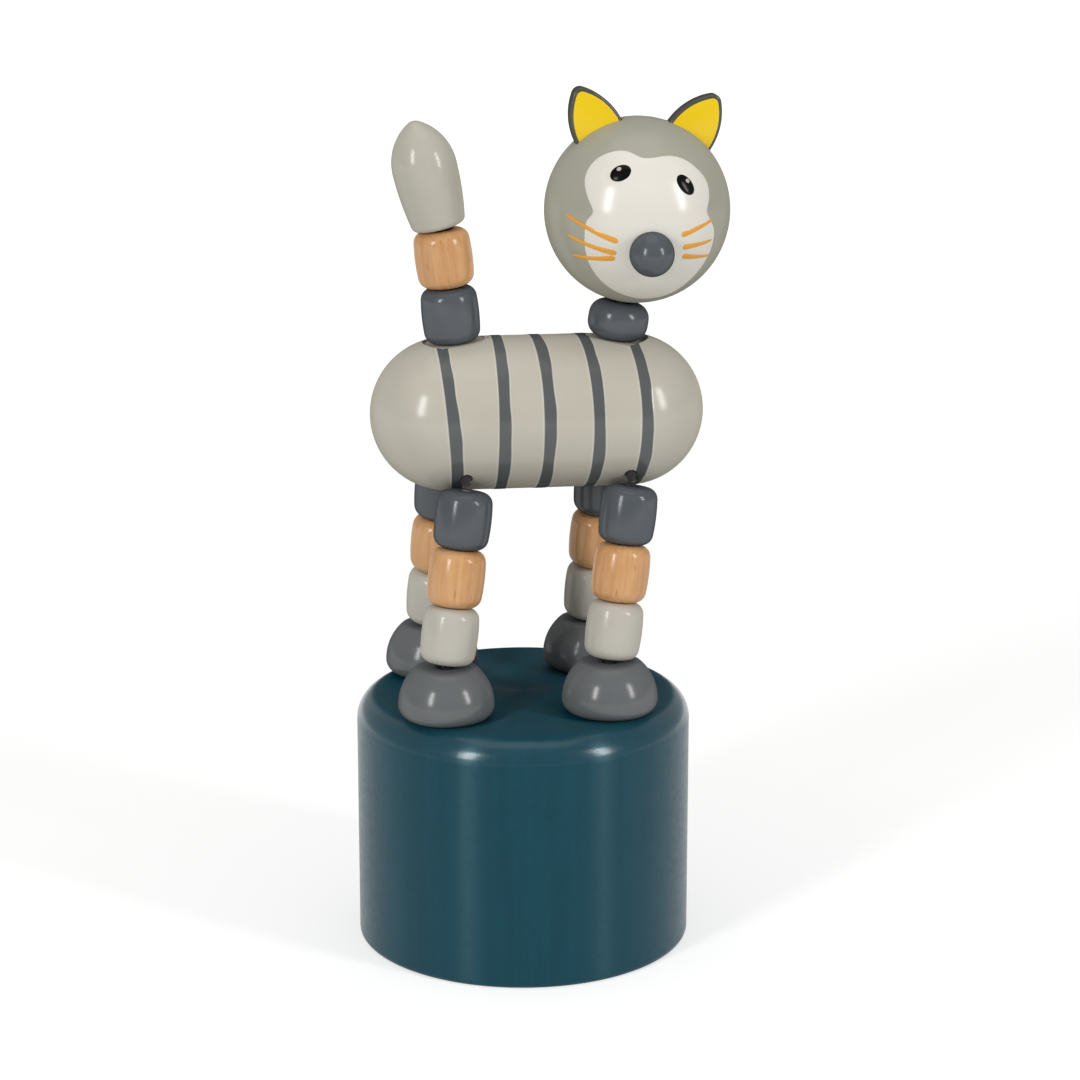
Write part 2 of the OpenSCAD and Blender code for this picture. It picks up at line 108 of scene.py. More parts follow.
class PuppetSizes(bpy.types.PropertyGroup):
    """Sizes of the turned and painted pieces."""

    bead_edge: length("Bead edge", "Rounding of a leg or tail bead's edges", 1.5)
    bead_bulge: length("Bead bulge", "Radius of a bead's bulging side", 25)
    bead_d: length("Leg bead", "Diameter of a leg bead", 7.5)
    bead_h: length("Leg bead height", "Height of a leg bead", 7.6)
    bore: length("Bore", "Diameter of the cord hole in a leg bead", 1.8)
    pair_bore: length("Pair bore", "Diameter of the hole for two cords", 3.1)
    left_lean: turn("Left lean", "Forward lean of the left legs", 4)
    right_lean: turn("Right lean", "Forward lean of the right legs", 7.6)
    splay: turn("Splay", "Inward lean of all legs", 6.5)
    foot_d: length("Foot", "Diameter of a foot", 12.7)
    foot_top: length("Foot top", "Diameter of a foot's top", 7.9)
    foot_h: length("Foot height", "Height of a foot", 6.8)
    foot_edge: length("Foot edge", "Rounding of a foot's under-edge", 1.7)
    body_d: length("Body", "Diameter of the body", 20.3)
    body_straight: length("Body straight", "Length of the body between its ball ends", 24)
    stripe_w: length("Stripe", "Width of a painted stripe", 1.5)
    border_w: length("Stripe border", "Width of the pale line along a stripe", 0.3)
    film: length("Paint film", "Thickness of a painted film", 0.06)
    bead_gap: length("Bead gap", "Gap between neighbouring beads", 0.1)
    seat_gap: length("Seat gap", "Room round a bead in its seat in the body", 0.3)
    neck_d: length("Neck bead", "Diameter of the neck bead", 8)
    neck_h: length("Neck bead height", "Height of the neck bead", 5)
    neck_edge: length("Neck bead edge", "Rounding of the neck bead's edges", 2)
    neck_bulge: length("Neck bead bulge", "Radius of the neck bead's side", 8)
    head_d: length("Head", "Diameter of the head", 24.4)
    head_lean: turn("Head lean", "Forward lean of the neck and the head", 9.3)
    head_turn: turn("Head turn", "Turn of the face from straight ahead", -87)
    nose_d: length("Nose", "Diameter of the nose", 5.8)
    nose_out: length("Nose out", "How far the nose's middle stands out of the head", 0.9)
    nose_drop: turn("Nose drop", "Angle of the nose below the middle of the face", 16)
    ear_w: length("Ear width", "Width of an ear", 6.7)
    ear_h: length("Ear height", "Height of an ear above its root", 6.4)
    ear_t: length("Ear thickness", "Thickness of an ear", 2)
    ear_root: length("Ear root", "Depth of an ear in the head", 2.4)
    ear_tip: length("Ear tip", "Rounding of an ear's tip", 1.1)
    ear_rim: length("Ear rim", "Width of the grey rim round an ear's yellow front", 0.42)
    ear_spread: turn("Ear spread", "Sideways lean of an ear", 31)
    ear_roll: turn("Ear roll", "Roll of both ears towards the cat's right", 5)
    tail_d: length("Tail bead", "Diameter of a tail bead", 7.6)
    tail_lower_h: length("Lower tail bead", "Height of the tail's lower bead", 7.3)
    tail_middle_h: length("Middle tail bead", "Height of the tail's middle bead", 7.5)
    tail_lower_lean: turn("Lower tail lean", "Backward lean of the tail's lower bead", 5.5)
    tail_middle_lean: turn("Middle tail lean", "Backward lean of the tail's middle bead", 7)
    tail_tip_lean: turn("Tail tip lean", "Backward lean of the tail's tip", 13.5)
    tip_d: length("Tail tip", "Largest diameter of the tail's tip", 8.5)
    tip_h: length("Tail tip height", "Height of the tail's tip", 14.2)
    tip_waist: length("Tail tip waist", "Height at which the tip is widest", 7.9)
    tip_side: length("Tail tip side", "Radius of the tip's side below its widest place", 40)
    tip_nose: length("Tail tip nose", "Radius of the tip's nose", 1.6)
    tip_edge: length("Tail tip edge", "Rounding of the tip's lower edge", 0.8)
    cord_d: length("Cord", "Diameter of a cord", 1.2)
    cord_lay: length("Cord lay", "Length of one turn of the cord's strands", 4.2)
    knot_d: length("Knot", "Diameter of a knot under the button", 2.6)
    spring_r: length("Spring", "Radius of the spring at the middle of its wire", 7.85)
    wire_d: length("Wire", "Diameter of the spring's wire", 0.9)
    spring_turns: IntProperty(
        name="Spring turns", description="Working turns of the spring", default=6, min=3
    )


class PuppetColours(bpy.types.PropertyGroup):
    """Colours of the lacquers, paints, wood, cord and wire."""

    teal: paint("Teal", "Lacquer of the drum", 4, 63, 78)
    warm: paint("Warm grey", "Lacquer of the body", 195, 190, 176)
    tip: paint("Tail grey", "Lacquer of the tail tip", 188, 184, 171)
    head: paint("Head grey", "Lacquer of the head", 170, 169, 154)
    dark: paint("Dark grey", "Lacquer of dark beads and nose", 84, 89, 94)
    foot: paint("Foot grey", "Lacquer of the feet", 104, 107, 109)
    pale: paint("Pale grey", "Lacquer of the lower leg beads", 194, 190, 179)
    wood_light: paint("Light wood", "Early wood of clear-lacquered beads", 222, 172, 120)
    wood_deep: paint("Deep wood", "Late wood of clear-lacquered beads", 200, 146, 96)
    stripe: paint("Stripe", "Painted stripes", 92, 95, 95)
    border: paint("Stripe border", "Pale line along a stripe", 208, 203, 192)
    mask: paint("Mask", "Painted mask of the face", 233, 229, 219)
    eye: paint("Eye", "Painted eyes", 12, 9, 8)
    shine: paint("Eye shine", "Painted light in the eyes", 190, 182, 174)
    whisker: paint("Whisker", "Painted whiskers", 238, 168, 58)
    yellow: paint("Ear yellow", "Painted front of the ears", 244, 206, 22)
    rim: paint("Ear grey", "Rim and back of the ears", 80, 80, 72)
    # Near-black cords: partly their own colour and partly painted shade for the hip holes and the gaps between
    # beads
    cord: paint("Cord", "Cotton cords", 40, 37, 34)
    steel: paint("Steel", "Wire of the spring", 178, 181, 186)
    floor: paint("Floor", "Floor of the stage", 206, 206, 205)


def sizes():
    return bpy.context.scene.puppet_sizes


def colours():
    return bpy.context.scene.puppet_colours


# Node helpers

class Value:
    """Output of a node that can be reckoned with: each step adds a Math node to its tree."""

    def __init__(self, tree, socket):
        self.tree = tree
        self.socket = socket

    def math(self, operation, second=0.0, third=0.0):
        return take(self.tree, "ShaderNodeMath", {0: self, 1: second, 2: third}, operation=operation)

    def __add__(self, other):
        return self.math("ADD", other)

    def __sub__(self, other):
        return self.math("SUBTRACT", other)

    def __mul__(self, other):
        return self.math("MULTIPLY", other)

    def __truediv__(self, other):
        return self.math("DIVIDE", other)


def fill(tree, node, feeds):
    """Links values into a node's inputs, given by name or number, or fills them with constants."""
    for key, value in feeds.items():
        if isinstance(value, Value):
            tree.links.new(value.socket, node.inputs[key])
        else:
            node.inputs[key].default_value = value


def put(tree, kind, feeds=None, **settings):
    """Adds a node, sets its properties and feeds its inputs."""
    made = tree.nodes.new(kind)
    for name, value in settings.items():
        setattr(made, name, value)
    fill(tree, made, feeds or {})
    return made


def take(tree, kind, feeds=None, output=0, **settings):
    """Adds a node and returns one of its outputs."""
    return Value(tree, put(tree, kind, feeds, **settings).outputs[output])


def used_socket(sockets, name):
    """The socket of a name that the node's data type uses."""
    return next(socket for socket in sockets if socket.name == name and socket.enabled)


def vector(tree, x, y, z):
    return take(tree, "ShaderNodeCombineXYZ", {0: x, 1: y, 2: z})


def parts_of(value):
    """The three parts of a vector."""
    split = put(value.tree, "ShaderNodeSeparateXYZ", {0: value})
    return [Value(value.tree, socket) for socket in split.outputs]


def start_tree(name, kind, inputs, outputs):
    """New node tree with named sockets, the values that it is given, and its output node."""
    tree = bpy.data.node_groups.new(name, kind)
    for way, sockets in (("INPUT", inputs), ("OUTPUT", outputs)):
        for title, socket in sockets.items():
            tree.interface.new_socket(name=title, in_out=way, socket_type=socket)
    source = tree.nodes.new("NodeGroupInput")
    given = {title: Value(tree, source.outputs[title]) for title in inputs}
    return tree, given, tree.nodes.new("NodeGroupOutput")


MADE = {}


def once(build):
    """What a function builds, built the first time that it is asked for."""
    if build not in MADE:
        MADE[build] = build()
    return MADE[build]


# Geometry trees

SHAPE = "NodeSocketGeometry"
NUMBER = "NodeSocketFloat"
COUNT = "NodeSocketInt"
VECTOR = "NodeSocketVector"
COLOUR = "NodeSocketColor"
STUFF = "NodeSocketMaterial"
# Distance within which the seam of a swept piece closes
SEAM = 2e-6
FILM_SEAM = 1e-6
# Strands of a cord, and points round its section and round the spring's wire
STRANDS = 3
CORD_POINTS = 24
WIRE_POINTS = 16
# How often and how finely a stripe's edges wander
WANDER_SCALE = 1.6
WANDER_DETAIL = 1.0


def start_shape(name, inputs):
    """New geometry tree that makes one piece of one material."""
    return start_tree(name, "GeometryNodeTree", {**inputs, "Material": STUFF}, {"Geometry": SHAPE})


def close_shape(result, geometry, material):
    """Ends a geometry tree: smooth faces, real instances, one material."""
    tree = geometry.tree
    smooth = take(tree, "GeometryNodeSetShadeSmooth", {"Geometry": geometry})
    real = take(tree, "GeometryNodeRealizeInstances", {"Geometry": smooth})
    dressed = take(tree, "GeometryNodeSetMaterial", {"Geometry": real, "Material": material})
    fill(tree, result, {0: dressed})
    return tree


def moved(geometry, spot):
    return take(geometry.tree, "GeometryNodeSetPosition", {"Geometry": geometry, "Position": spot})


def welded(geometry, distance):
    return take(geometry.tree, "GeometryNodeMergeByDistance", {"Geometry": geometry, "Distance": distance})


def curve_of(stretches):
    return take(stretches.tree, "GeometryNodeMeshToCurve", {0: stretches})


def tube(path, section):
    """Closed skin of a section that is drawn along a path."""
    return take(path.tree, "GeometryNodeCurveToMesh", {
        "Curve": path, "Profile Curve": section, "Fill Caps": True,
    })


def circle(tree, points, radius):
    return take(tree, "GeometryNodeCurvePrimitiveCircle", {"Resolution": points, "Radius": radius})


def sweep_cells(profile, segments):
    """Grid of a swept profile: its mesh, the profile's x, y and z, and the angle round the sweep."""
    tree = profile.tree
    count = take(
        tree, "GeometryNodeAttributeDomainSize", {"Geometry": profile}, "Point Count", component="MESH"
    )
    grid = take(tree, "GeometryNodeMeshGrid", {"Vertices X": segments + 1.0, "Vertices Y": count})
    index = take(tree, "GeometryNodeInputIndex")
    step = ((index + 0.25) / count).math("FLOOR")
    sample = put(
        tree, "GeometryNodeSampleIndex", {"Geometry": profile, "Index": index.math("MODULO", count)},
        data_type="FLOAT_VECTOR", domain="POINT",
    )
    where = take(tree, "GeometryNodeInputPosition")
    tree.links.new(where.socket, used_socket(sample.inputs, "Value"))
    spots = Value(tree, used_socket(sample.outputs, "Value"))
    return grid, parts_of(spots), step / segments * TAU


def store(geometry, name, value, kind, domain="POINT"):
    """Geometry with a named attribute."""
    kept = put(
        geometry.tree, "GeometryNodeStoreNamedAttribute", {"Geometry": geometry, "Name": name},
        data_type=kind, domain=domain,
    )
    geometry.tree.links.new(value.socket, used_socket(kept.inputs, "Value"))
    return Value(geometry.tree, kept.outputs[0])


def turned_tree():
    """Lathe: sweeps a half outline round its axis, keeps its place for the grain, and puts it in the toy."""
    tree, given, result = start_shape("Turned piece", {
        "Outline": SHAPE, "Segments": COUNT, "Place": VECTOR, "Lean": VECTOR, "Grain Shift": VECTOR,
    })
    grid, (reach, _, height), angle = sweep_cells(given["Outline"], given["Segments"])
    spot = vector(tree, reach * angle.math("COSINE"), reach * angle.math("SINE"), height)
    closed = welded(moved(grid, spot), SEAM)
    here = take(tree, "GeometryNodeInputPosition")
    shifted = take(tree, "ShaderNodeVectorMath", {0: here, 1: given["Grain Shift"]}, operation="ADD")
    lean = take(tree, "FunctionNodeEulerToRotation", {"Euler": given["Lean"]})
    placed = take(tree, "GeometryNodeTransform", {
        "Geometry": store(closed, "turning", shifted, "FLOAT_VECTOR"), "Translation": given["Place"],
        "Rotation": lean,
    })
    return close_shape(result, placed, given["Material"])


def band_tree():
    """Stripe: sweeps a thin paint section round the body along a slightly tilted ring."""
    tree, given, result = start_shape("Painted stripe", {
        "Section": SHAPE, "Segments": COUNT, "Middle": NUMBER, "Lean": NUMBER, "Sweep": NUMBER,
        "Half Width": NUMBER, "Unevenness": NUMBER, "Seed": NUMBER, "Body Middle": VECTOR,
        "Body Radius": NUMBER, "Half Straight": NUMBER,
    })
    grid, (across, _, high), angle = sweep_cells(given["Section"], given["Segments"])
    up = angle.math("SINE")
    near = angle.math("COSINE")
    wander = noise(vector(tree, near, up, given["Seed"]), WANDER_SCALE, WANDER_DETAIL)
    swing = (wander - 0.5) * given["Unevenness"]
    half = given["Half Width"] * (swing + 1.0)
    line = given["Lean"] * up + given["Middle"]
    line = given["Sweep"] * near + line
    line = swing * (given["Half Width"] * 0.5) + line
    along = across * half + line
    x, y, z = parts_of(given["Body Middle"])
    past = ((along - x).math("ABSOLUTE") - given["Half Straight"]).math("MAXIMUM", 0.0)
    radius = given["Body Radius"]
    reach = (radius * radius - past * past).math("SQRT") + high
    spot = vector(tree, along, y - reach * near, reach * up + z)
    closed = welded(moved(store(grid, "across_point", across, "FLOAT"), spot), FILM_SEAM)
    kept = take(
        tree, "GeometryNodeInputNamedAttribute", {"Name": "across_point"}, "Attribute", data_type="FLOAT"
    )
    return close_shape(result, store(closed, "across", kept, "FLOAT", "CORNER"), given["Material"])


def cord_tree():
    """Laid cord: strands twisted along each stretch."""
    tree, given, result = start_shape("Laid cord", {
        "Stretches": SHAPE, "Radius": NUMBER, "Lay": NUMBER, "Step": NUMBER, "Groove": NUMBER,
    })
    fine = take(
        tree, "GeometryNodeResampleCurve", {"Curve": curve_of(given["Stretches"]), "Length": given["Step"]},
        mode="LENGTH",
    )
    run = take(tree, "GeometryNodeSplineParameter", output="Length")
    twisted = take(tree, "GeometryNodeSetCurveTilt", {"Curve": fine, "Tilt": run / given["Lay"] * TAU})
    here = take(tree, "GeometryNodeInputPosition")
    x, y, _ = parts_of(here)
    lobe = (y.math("ARCTAN2", x) * (STRANDS / 2)).math("COSINE").math("ABSOLUTE")
    rise = (lobe - 1.0) * given["Groove"] + 1.0
    spot = take(tree, "ShaderNodeVectorMath", {0: here, "Scale": rise * given["Radius"]}, operation="SCALE")
    skin = tube(twisted, moved(circle(tree, CORD_POINTS, 1.0), spot))
    return close_shape(result, skin, given["Material"])


def coil_tree():
    """Compression spring: working turns between two closed end turns, on a round wire."""
    tree, given, result = start_shape("Coil spring", {
        "Wire Path": SHAPE, "Radius": NUMBER, "Wire": NUMBER, "Low": NUMBER, "High": NUMBER, "Turns": NUMBER,
    })
    turns, wire, radius = given["Turns"], given["Wire"], given["Radius"]
    done = take(tree, "GeometryNodeSplineParameter", output="Factor") * (turns + 2.0)
    angle = done * TAU
    first = done.math("MINIMUM", 1.0)
    last = (done - (turns + 1.0)).math("MAXIMUM", 0.0)
    working = (done - 1.0).math("MINIMUM", turns).math("MAXIMUM", 0.0)
    span = given["High"] - given["Low"] - wire * 3.0
    half = wire * 0.5
    height = given["Low"] + half + (first + last) * wire + working / turns * span
    spot = vector(tree, radius * angle.math("COSINE"), radius * angle.math("SINE"), height)
    skin = tube(moved(curve_of(given["Wire Path"]), spot), circle(tree, WIRE_POINTS, half))
    return close_shape(result, skin, given["Material"])


# Meshes

# Corners sharper than this stay sharp
SHARP = math.radians(50)
# Depth of the countersink at a cord hole
COUNTERSINK = 0.25 * MM
# Shift of the grain from one turned piece to the next, and the first piece's count of shifts in each kind
GRAIN_SHIFT = Vector((0.013, 0.029, 0.007))
FIRST_SHIFT = {"foot": 1, "leg": 10, "nose": 31, "neck": 40, "tail": 50, "tip": 60}
# Segments round a turned piece, and round a large one
SEGMENTS = 96
FINE_SEGMENTS = 128
UP = Vector((0, 0, 1))


def new_object(name, data):
    thing = bpy.data.objects.new(name, data)
    bpy.context.scene.collection.objects.link(thing)
    return thing


def evaluated(piece):
    """Mesh of a piece with its modifiers carried out."""
    bpy.context.view_layer.update()
    graph = bpy.context.evaluated_depsgraph_get()
    return bpy.data.meshes.new_from_object(
        piece.evaluated_get(graph), preserve_all_data_layers=True, depsgraph=graph
    )


def grow(name, build, points, edges, inputs):
    """Runs a geometry tree on points and edges and returns the finished piece as a plain mesh."""
    seed = bpy.data.meshes.new(name + "_seed")
    seed.from_pydata([tuple(p) for p in points], edges, [])
    host = new_object(name + "_seed", seed)
    modifier = host.modifiers.new("Grow", "NODES")
    modifier.node_group = once(build)
    for item in modifier.node_group.interface.items_tree:
        if item.in_out == "INPUT" and item.name in inputs:
            modifier[item.identifier] = inputs[item.name]
    mesh = evaluated(host)
    host.modifiers.clear()
    bpy.data.objects.remove(host)
    bpy.data.meshes.remove(seed)
    if not mesh.polygons:
        raise RuntimeError(name + " came out empty")
    mesh.name = name
    return new_object(name, face_outwards(mesh))


def face_outwards(mesh):
    """Turns the faces of closed shells outwards and keeps true corners sharp."""
    shell = bmesh.new()
    shell.from_mesh(mesh)
    bmesh.ops.recalc_face_normals(shell, faces=shell.faces)
    for face in shell.faces:
        face.smooth = True
    shell.to_mesh(mesh)
    shell.free()
    mesh.set_sharp_from_angle(angle=SHARP)
    return mesh


def piece_of(name, shell):
    """Object from a mesh under construction, which ends with it."""
    mesh = bpy.data.meshes.new(name)
    shell.to_mesh(mesh)
    shell.free()
    return new_object(name, face_outwards(mesh))


def span_loops(shell, rows):
    """Faces between each loop of corners and the next."""
    for here, there in zip(rows, rows[1:]):
        for j in range(len(here)):
            n = (j + 1) % len(here)
            shell.faces.new((here[j], there[j], there[n], here[n]))


def bake(piece):
    """Makes a piece's modifiers part of its mesh."""
    mesh = evaluated(piece)
    piece.modifiers.clear()
    piece.data = face_outwards(mesh)


def coat_with(piece, material):
    """Gives a piece or a solid one material."""
    piece.data.materials.clear()
    piece.data.materials.append(material)
    return piece


def hand_over(piece, node):
    """Hides the node that a piece stands in for and hangs the piece on the body that the node rides on."""
    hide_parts(node)
    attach(piece, BODY_OF[node])


def chain(points):
    """Edges that join each point to the next."""
    return [(k, k + 1) for k in range(len(points) - 1)]


def arc(middle, radius, start, stop, steps):
    """Points of an arc in the outline plane, angles in degrees from +r towards +z."""
    points = []
    for k in range(steps + 1):
        angle = math.radians(start + (stop - start) * k / steps)
        points.append((middle[0] + radius * math.cos(angle), 0.0, middle[1] + radius * math.sin(angle)))
    return points


def straight(start, stop, steps):
    """Points of a straight line in the outline plane."""
    return [
        (start[0] + (stop[0] - start[0]) * k / steps, 0.0, start[1] + (stop[1] - start[1]) * k / steps)
        for k in range(steps + 1)
    ]


def outline_of(*runs):
    """One list of points from runs that may meet end to end."""
    points = []
    for run in runs:
        for point in run:
            if not points or (Vector(point) - Vector(points[-1])).length > 1e-7:
                points.append(point)
    return points


def bored_outline(bore, h, low, high, steps, *sides):
    """Closed half outline of a bored piece: countersunk hole, flat ends out to low and high, and sides."""
    hole = bore / 2
    lip = hole + COUNTERSINK
    return outline_of(
        straight((hole, COUNTERSINK), (lip, 0), 2),
        straight((lip, 0), (low, 0), steps),
        *sides,
        straight((high, h), (lip, h), 4),
        straight((lip, h), (hole, h - COUNTERSINK), 2),
        straight((hole, h - COUNTERSINK), (hole, COUNTERSINK), 6),
    )


def barrel_outline(d, h, edge, bulge, bore):
    """Half outline of a bead with round edges and a bulging side."""
    middle = d / 2 - bulge
    flat = middle + math.sqrt((bulge - edge) ** 2 - (h / 2 - edge) ** 2)
    tilt = math.degrees(math.asin((h / 2 - edge) / (bulge - edge)))
    return bored_outline(
        bore, h, flat, flat, 4,
        arc((flat, edge), edge, -90, -tilt, 10),
        arc((middle, h / 2), bulge, -tilt, tilt, 12),
        arc((flat, h - edge), edge, tilt, 90, 10),
    )


def lathe(name, outline, place, axis, material, shift, segments=SEGMENTS):
    """Turned piece that stands on a place along an axis."""
    lean = UP.rotation_difference(Vector(axis)).to_euler("XYZ")
    return grow(name, turned_tree, outline, chain(outline), {
        "Segments": segments, "Place": tuple(place), "Lean": tuple(lean),
        "Grain Shift": tuple(GRAIN_SHIFT * shift), "Material": material,
    })


def turn_bead(node, d, h, edge, bulge, bore, axis, finish, shift):
    """Turned bead in the place of its node."""
    place = middle_of(node) - axis * h / 2
    outline = barrel_outline(d, h, edge, bulge, bore)
    hand_over(lathe("turned_" + node, outline, place, axis, finish, shift), node)


def middle_of(node):
    low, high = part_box(node)
    return (low + high) / 2


def column(forward, left=0.0):
    """Unit vector up a column that leans forward and to the left."""
    return Vector((math.tan(forward), math.tan(left), 1)).normalized()


def rods_of(node):
    """Ends of the round rods that a cord node is made of."""
    shell = bmesh.new()
    shell.from_mesh(frame["nodes"][node].data)
    bmesh.ops.remove_doubles(shell, verts=shell.verts, dist=1e-6)
    left = set(shell.verts)
    rods = []
    while left:
        grown = [left.pop()]
        island = []
        while grown:
            vertex = grown.pop()
            island.append(vertex.co.copy())
            for edge in vertex.link_edges:
                other = edge.other_vert(vertex)
                if other in left:
                    left.discard(other)
                    grown.append(other)
        cloud = np.array(island, float)
        centre = (cloud.max(0) + cloud.min(0)) / 2
        ways = np.linalg.svd(cloud - cloud.mean(0), full_matrices=False)[2]
        way = ways[0] if ways[0][2] >= 0 else -ways[0]
        reach = (cloud - centre) @ way
        rods.append((Vector(centre + way * reach.min()), Vector(centre + way * reach.max())))
    shell.free()
    return sorted(rods, key=lambda rod: (round(rod[0].x, 5), round(rod[0].y, 5)))


# Materials

FINISHES = {}
FINISH_OUTPUTS = {"Colour": COLOUR, "Roughness": NUMBER, "Height": NUMBER}
# Strength of the orange peel, and roughness and weight of the clear coat
PEEL = 0.35
COAT_ROUGHNESS = 0.19
COAT = 0.7
# Shares of facing between which the clear coat fades
COAT_FADE = (0.3, 0.8)
# Strength and depth of the bumps in lacquer, wood, cord and wire
LACQUER_BUMP = (0.25, 0.04 * MM)
WOOD_BUMP = (0.3, 0.05 * MM)
CORD_BUMP = (0.5, 0.06 * MM)
WIRE_BUMP = (0.3, 0.03 * MM)
# Tint of the wood's dark flecks
FLECK_TINT = (0.55, 0.47, 0.42)
# Colour of the gloss on the drum, where the thin teal lacquer tints it
DRUM_GLOSS = (0.62, 0.93, 1.0, 1.0)
# Roughness of the drum's side and of its top, and how much wear changes it
DRUM_ROUGHNESS = (0.31, 0.85)
DRUM_WEAR = 0.24
# Depths below the drum's top between which it turns dull, and between which its rim gets polished
DRUM_DULL = (0.6 * MM, 0.1 * MM)
DRUM_RIM = (3.6 * MM, 2.0 * MM)


def solid_colour(colour):
    return (*colour, 1.0)


def noise(place, scale, detail=2.0, roughness=0.5):
    return take(place.tree, "ShaderNodeTexNoise", {
        "Vector": place, "Scale": scale, "Detail": detail, "Roughness": roughness,
    })


def ranged(value, low, high, to_low=0.0, to_high=1.0):
    """Value mapped from one range to another, smoothly and within limits."""
    return take(
        value.tree, "ShaderNodeMapRange",
        {"Value": value, "From Min": low, "From Max": high, "To Min": to_low, "To Max": to_high},
        interpolation_type="SMOOTHSTEP",
    )


def blend_colours(tree, share, first, second, mode="MIX"):
    """Mix of two colours, each one a value or a constant."""
    pair = [c if isinstance(c, Value) else solid_colour(c) for c in (first, second)]
    return take(
        tree, "ShaderNodeMix", {0: share, 6: pair[0], 7: pair[1]}, 2, data_type="RGBA", blend_type=mode
    )


def drawn_out(place, share):
    """Place whose height counts for less, which draws marks out up and down."""
    x, y, z = parts_of(place)
    return vector(place.tree, x, y, z * share)


def lacquer_group():
    """Sprayed lacquer: faint clouding, orange peel, dust nibs and a changing gloss."""
    tree, given, result = start_tree(
        "Sprayed lacquer", "ShaderNodeTree",
        {"Vector": VECTOR, "Colour": COLOUR, "Clouding": NUMBER, "Gloss": NUMBER, "Peel": NUMBER},
        FINISH_OUTPUTS,
    )
    place = given["Vector"]
    shade = (noise(place, 170.0, 3.0) - 0.5) * given["Clouding"] + 1.0
    tint = take(tree, "ShaderNodeCombineColor", {0: shade, 1: shade, 2: shade})
    cells = put(tree, "ShaderNodeTexVoronoi", {"Vector": place, "Scale": 420.0, "Randomness": 1.0})
    dot = ranged(Value(tree, cells.outputs["Distance"]), 0.05, 0.11, 1.0, 0.0)
    chosen = take(tree, "ShaderNodeSeparateColor", {0: Value(tree, cells.outputs["Color"])})
    nibs = dot * ranged(chosen, 0.86, 0.9)
    fill(tree, result, {
        "Colour": blend_colours(tree, 1.0, given["Colour"], tint, "MULTIPLY"),
        "Roughness": (noise(place, 950.0) - 0.5) * 0.10 + given["Gloss"],
        "Height": noise(place, 1500.0, 1.0) * given["Peel"] + nibs * 0.5,
    })
    return tree


def grain_group():
    """Clear-lacquered beech: long fibres, growth bands and short dark flecks along the turning axis."""
    tree, given, result = start_tree(
        "Turned beech", "ShaderNodeTree",
        {"Vector": VECTOR, "Light": COLOUR, "Deep": COLOUR, "Fleck": NUMBER}, FINISH_OUTPUTS,
    )
    drawn = drawn_out(given["Vector"], 0.06)
    fibres = noise(drawn, 1900.0, 3.0, 0.6)
    bands = noise(drawn, 330.0)
    short = noise(drawn_out(given["Vector"], 0.22), 2100.0, 1.0)
    flecks = ranged(short, 0.66, 0.76) * given["Fleck"]
    share = ranged(fibres * 0.55 + bands * 0.55, 0.36, 0.76)
    wood = blend_colours(tree, share, given["Light"], given["Deep"])
    dark = blend_colours(tree, 1.0, given["Deep"], FLECK_TINT, "MULTIPLY")
    fill(tree, result, {
        "Colour": blend_colours(tree, flecks, wood, dark),
        "Roughness": fibres * 0.14 + 0.20,
        "Height": flecks * -0.8 + fibres * -0.35,
    })
    return tree


def start_finish(name):
    """New material with only a Principled shader; returns it, its tree and the shader."""
    material = bpy.data.materials.new(name)
    material.use_nodes = True
    tree = material.node_tree
    tree.nodes.clear()
    shader = put(tree, "ShaderNodeBsdfPrincipled")
    put(tree, "ShaderNodeOutputMaterial", {"Surface": Value(tree, shader.outputs[0])})
    return material, tree, shader


def coordinates(tree, turned=False):
    """The piece's own turning place, or its place in the toy."""
    if turned:
        return take(tree, "ShaderNodeAttribute", output="Vector", attribute_name="turning")
    return take(tree, "ShaderNodeTexCoord", output="Object")


def bumps(height, strength, distance):
    return take(height.tree, "ShaderNodeBump", {"Height": height, "Strength": strength, "Distance": distance})


def coated(name, build, given, turned, specular, coat, bump):
    """Finish from a node group, under a clear coat that fades at outlines, where it mirrors little."""
    if name in FINISHES:
        return FINISHES[name]
    material, tree, shader = start_finish(name)
    feeds = {key: value(tree) if callable(value) else value for key, value in given.items()}
    feeds["Vector"] = coordinates(tree, turned)
    group = put(tree, "ShaderNodeGroup", feeds, node_tree=once(build))
    colour, gloss, height = (Value(tree, group.outputs[title]) for title in FINISH_OUTPUTS)
    fill(tree, shader, {
        "Base Color": colour, "Roughness": gloss, "Normal": bumps(height, *bump),
        "Specular IOR Level": specular, "Coat Roughness": COAT_ROUGHNESS,
    })
    if coat:
        facing = take(tree, "ShaderNodeLayerWeight", {"Blend": 0.5}, "Facing")
        fill(tree, shader, {"Coat Weight": ranged(facing, *COAT_FADE, coat, 0.0)})
    FINISHES[name] = material
    return material


def lacquer(name, colour, turned=True, gloss=0.24, clouding=0.10, coat=COAT, specular=0.0):
    """Opaque lacquer; its colour is a constant, or a function that builds it in the material's tree."""
    given = {
        "Colour": colour if callable(colour) else solid_colour(colour),
        "Clouding": clouding, "Gloss": gloss, "Peel": PEEL,
    }
    return coated(name, lacquer_group, given, turned, specular, coat, LACQUER_BUMP)


def clear_wood(name, turned=True):
    """Natural wood under clear lacquer."""
    c = colours()
    given = {"Light": solid_colour(c.wood_light), "Deep": solid_colour(c.wood_deep), "Fleck": 0.45}
    return coated(name, grain_group, given, turned, 0.05, COAT, WOOD_BUMP)


def teal_colour(tree):
    """Drum lacquer that is brushed thinly up and down, so that its colour is faintly streaked."""
    drawn = drawn_out(coordinates(tree), 0.05)
    streaks = noise(drawn, 900.0, 3.0, 0.6)
    share = ranged(streaks * 0.5 + noise(drawn, 210.0) * 0.5, 0.3, 0.7)
    deep, light = ([part * c for c in colours().teal] for part in (0.90, 1.10))
    return blend_colours(tree, share, deep, light)


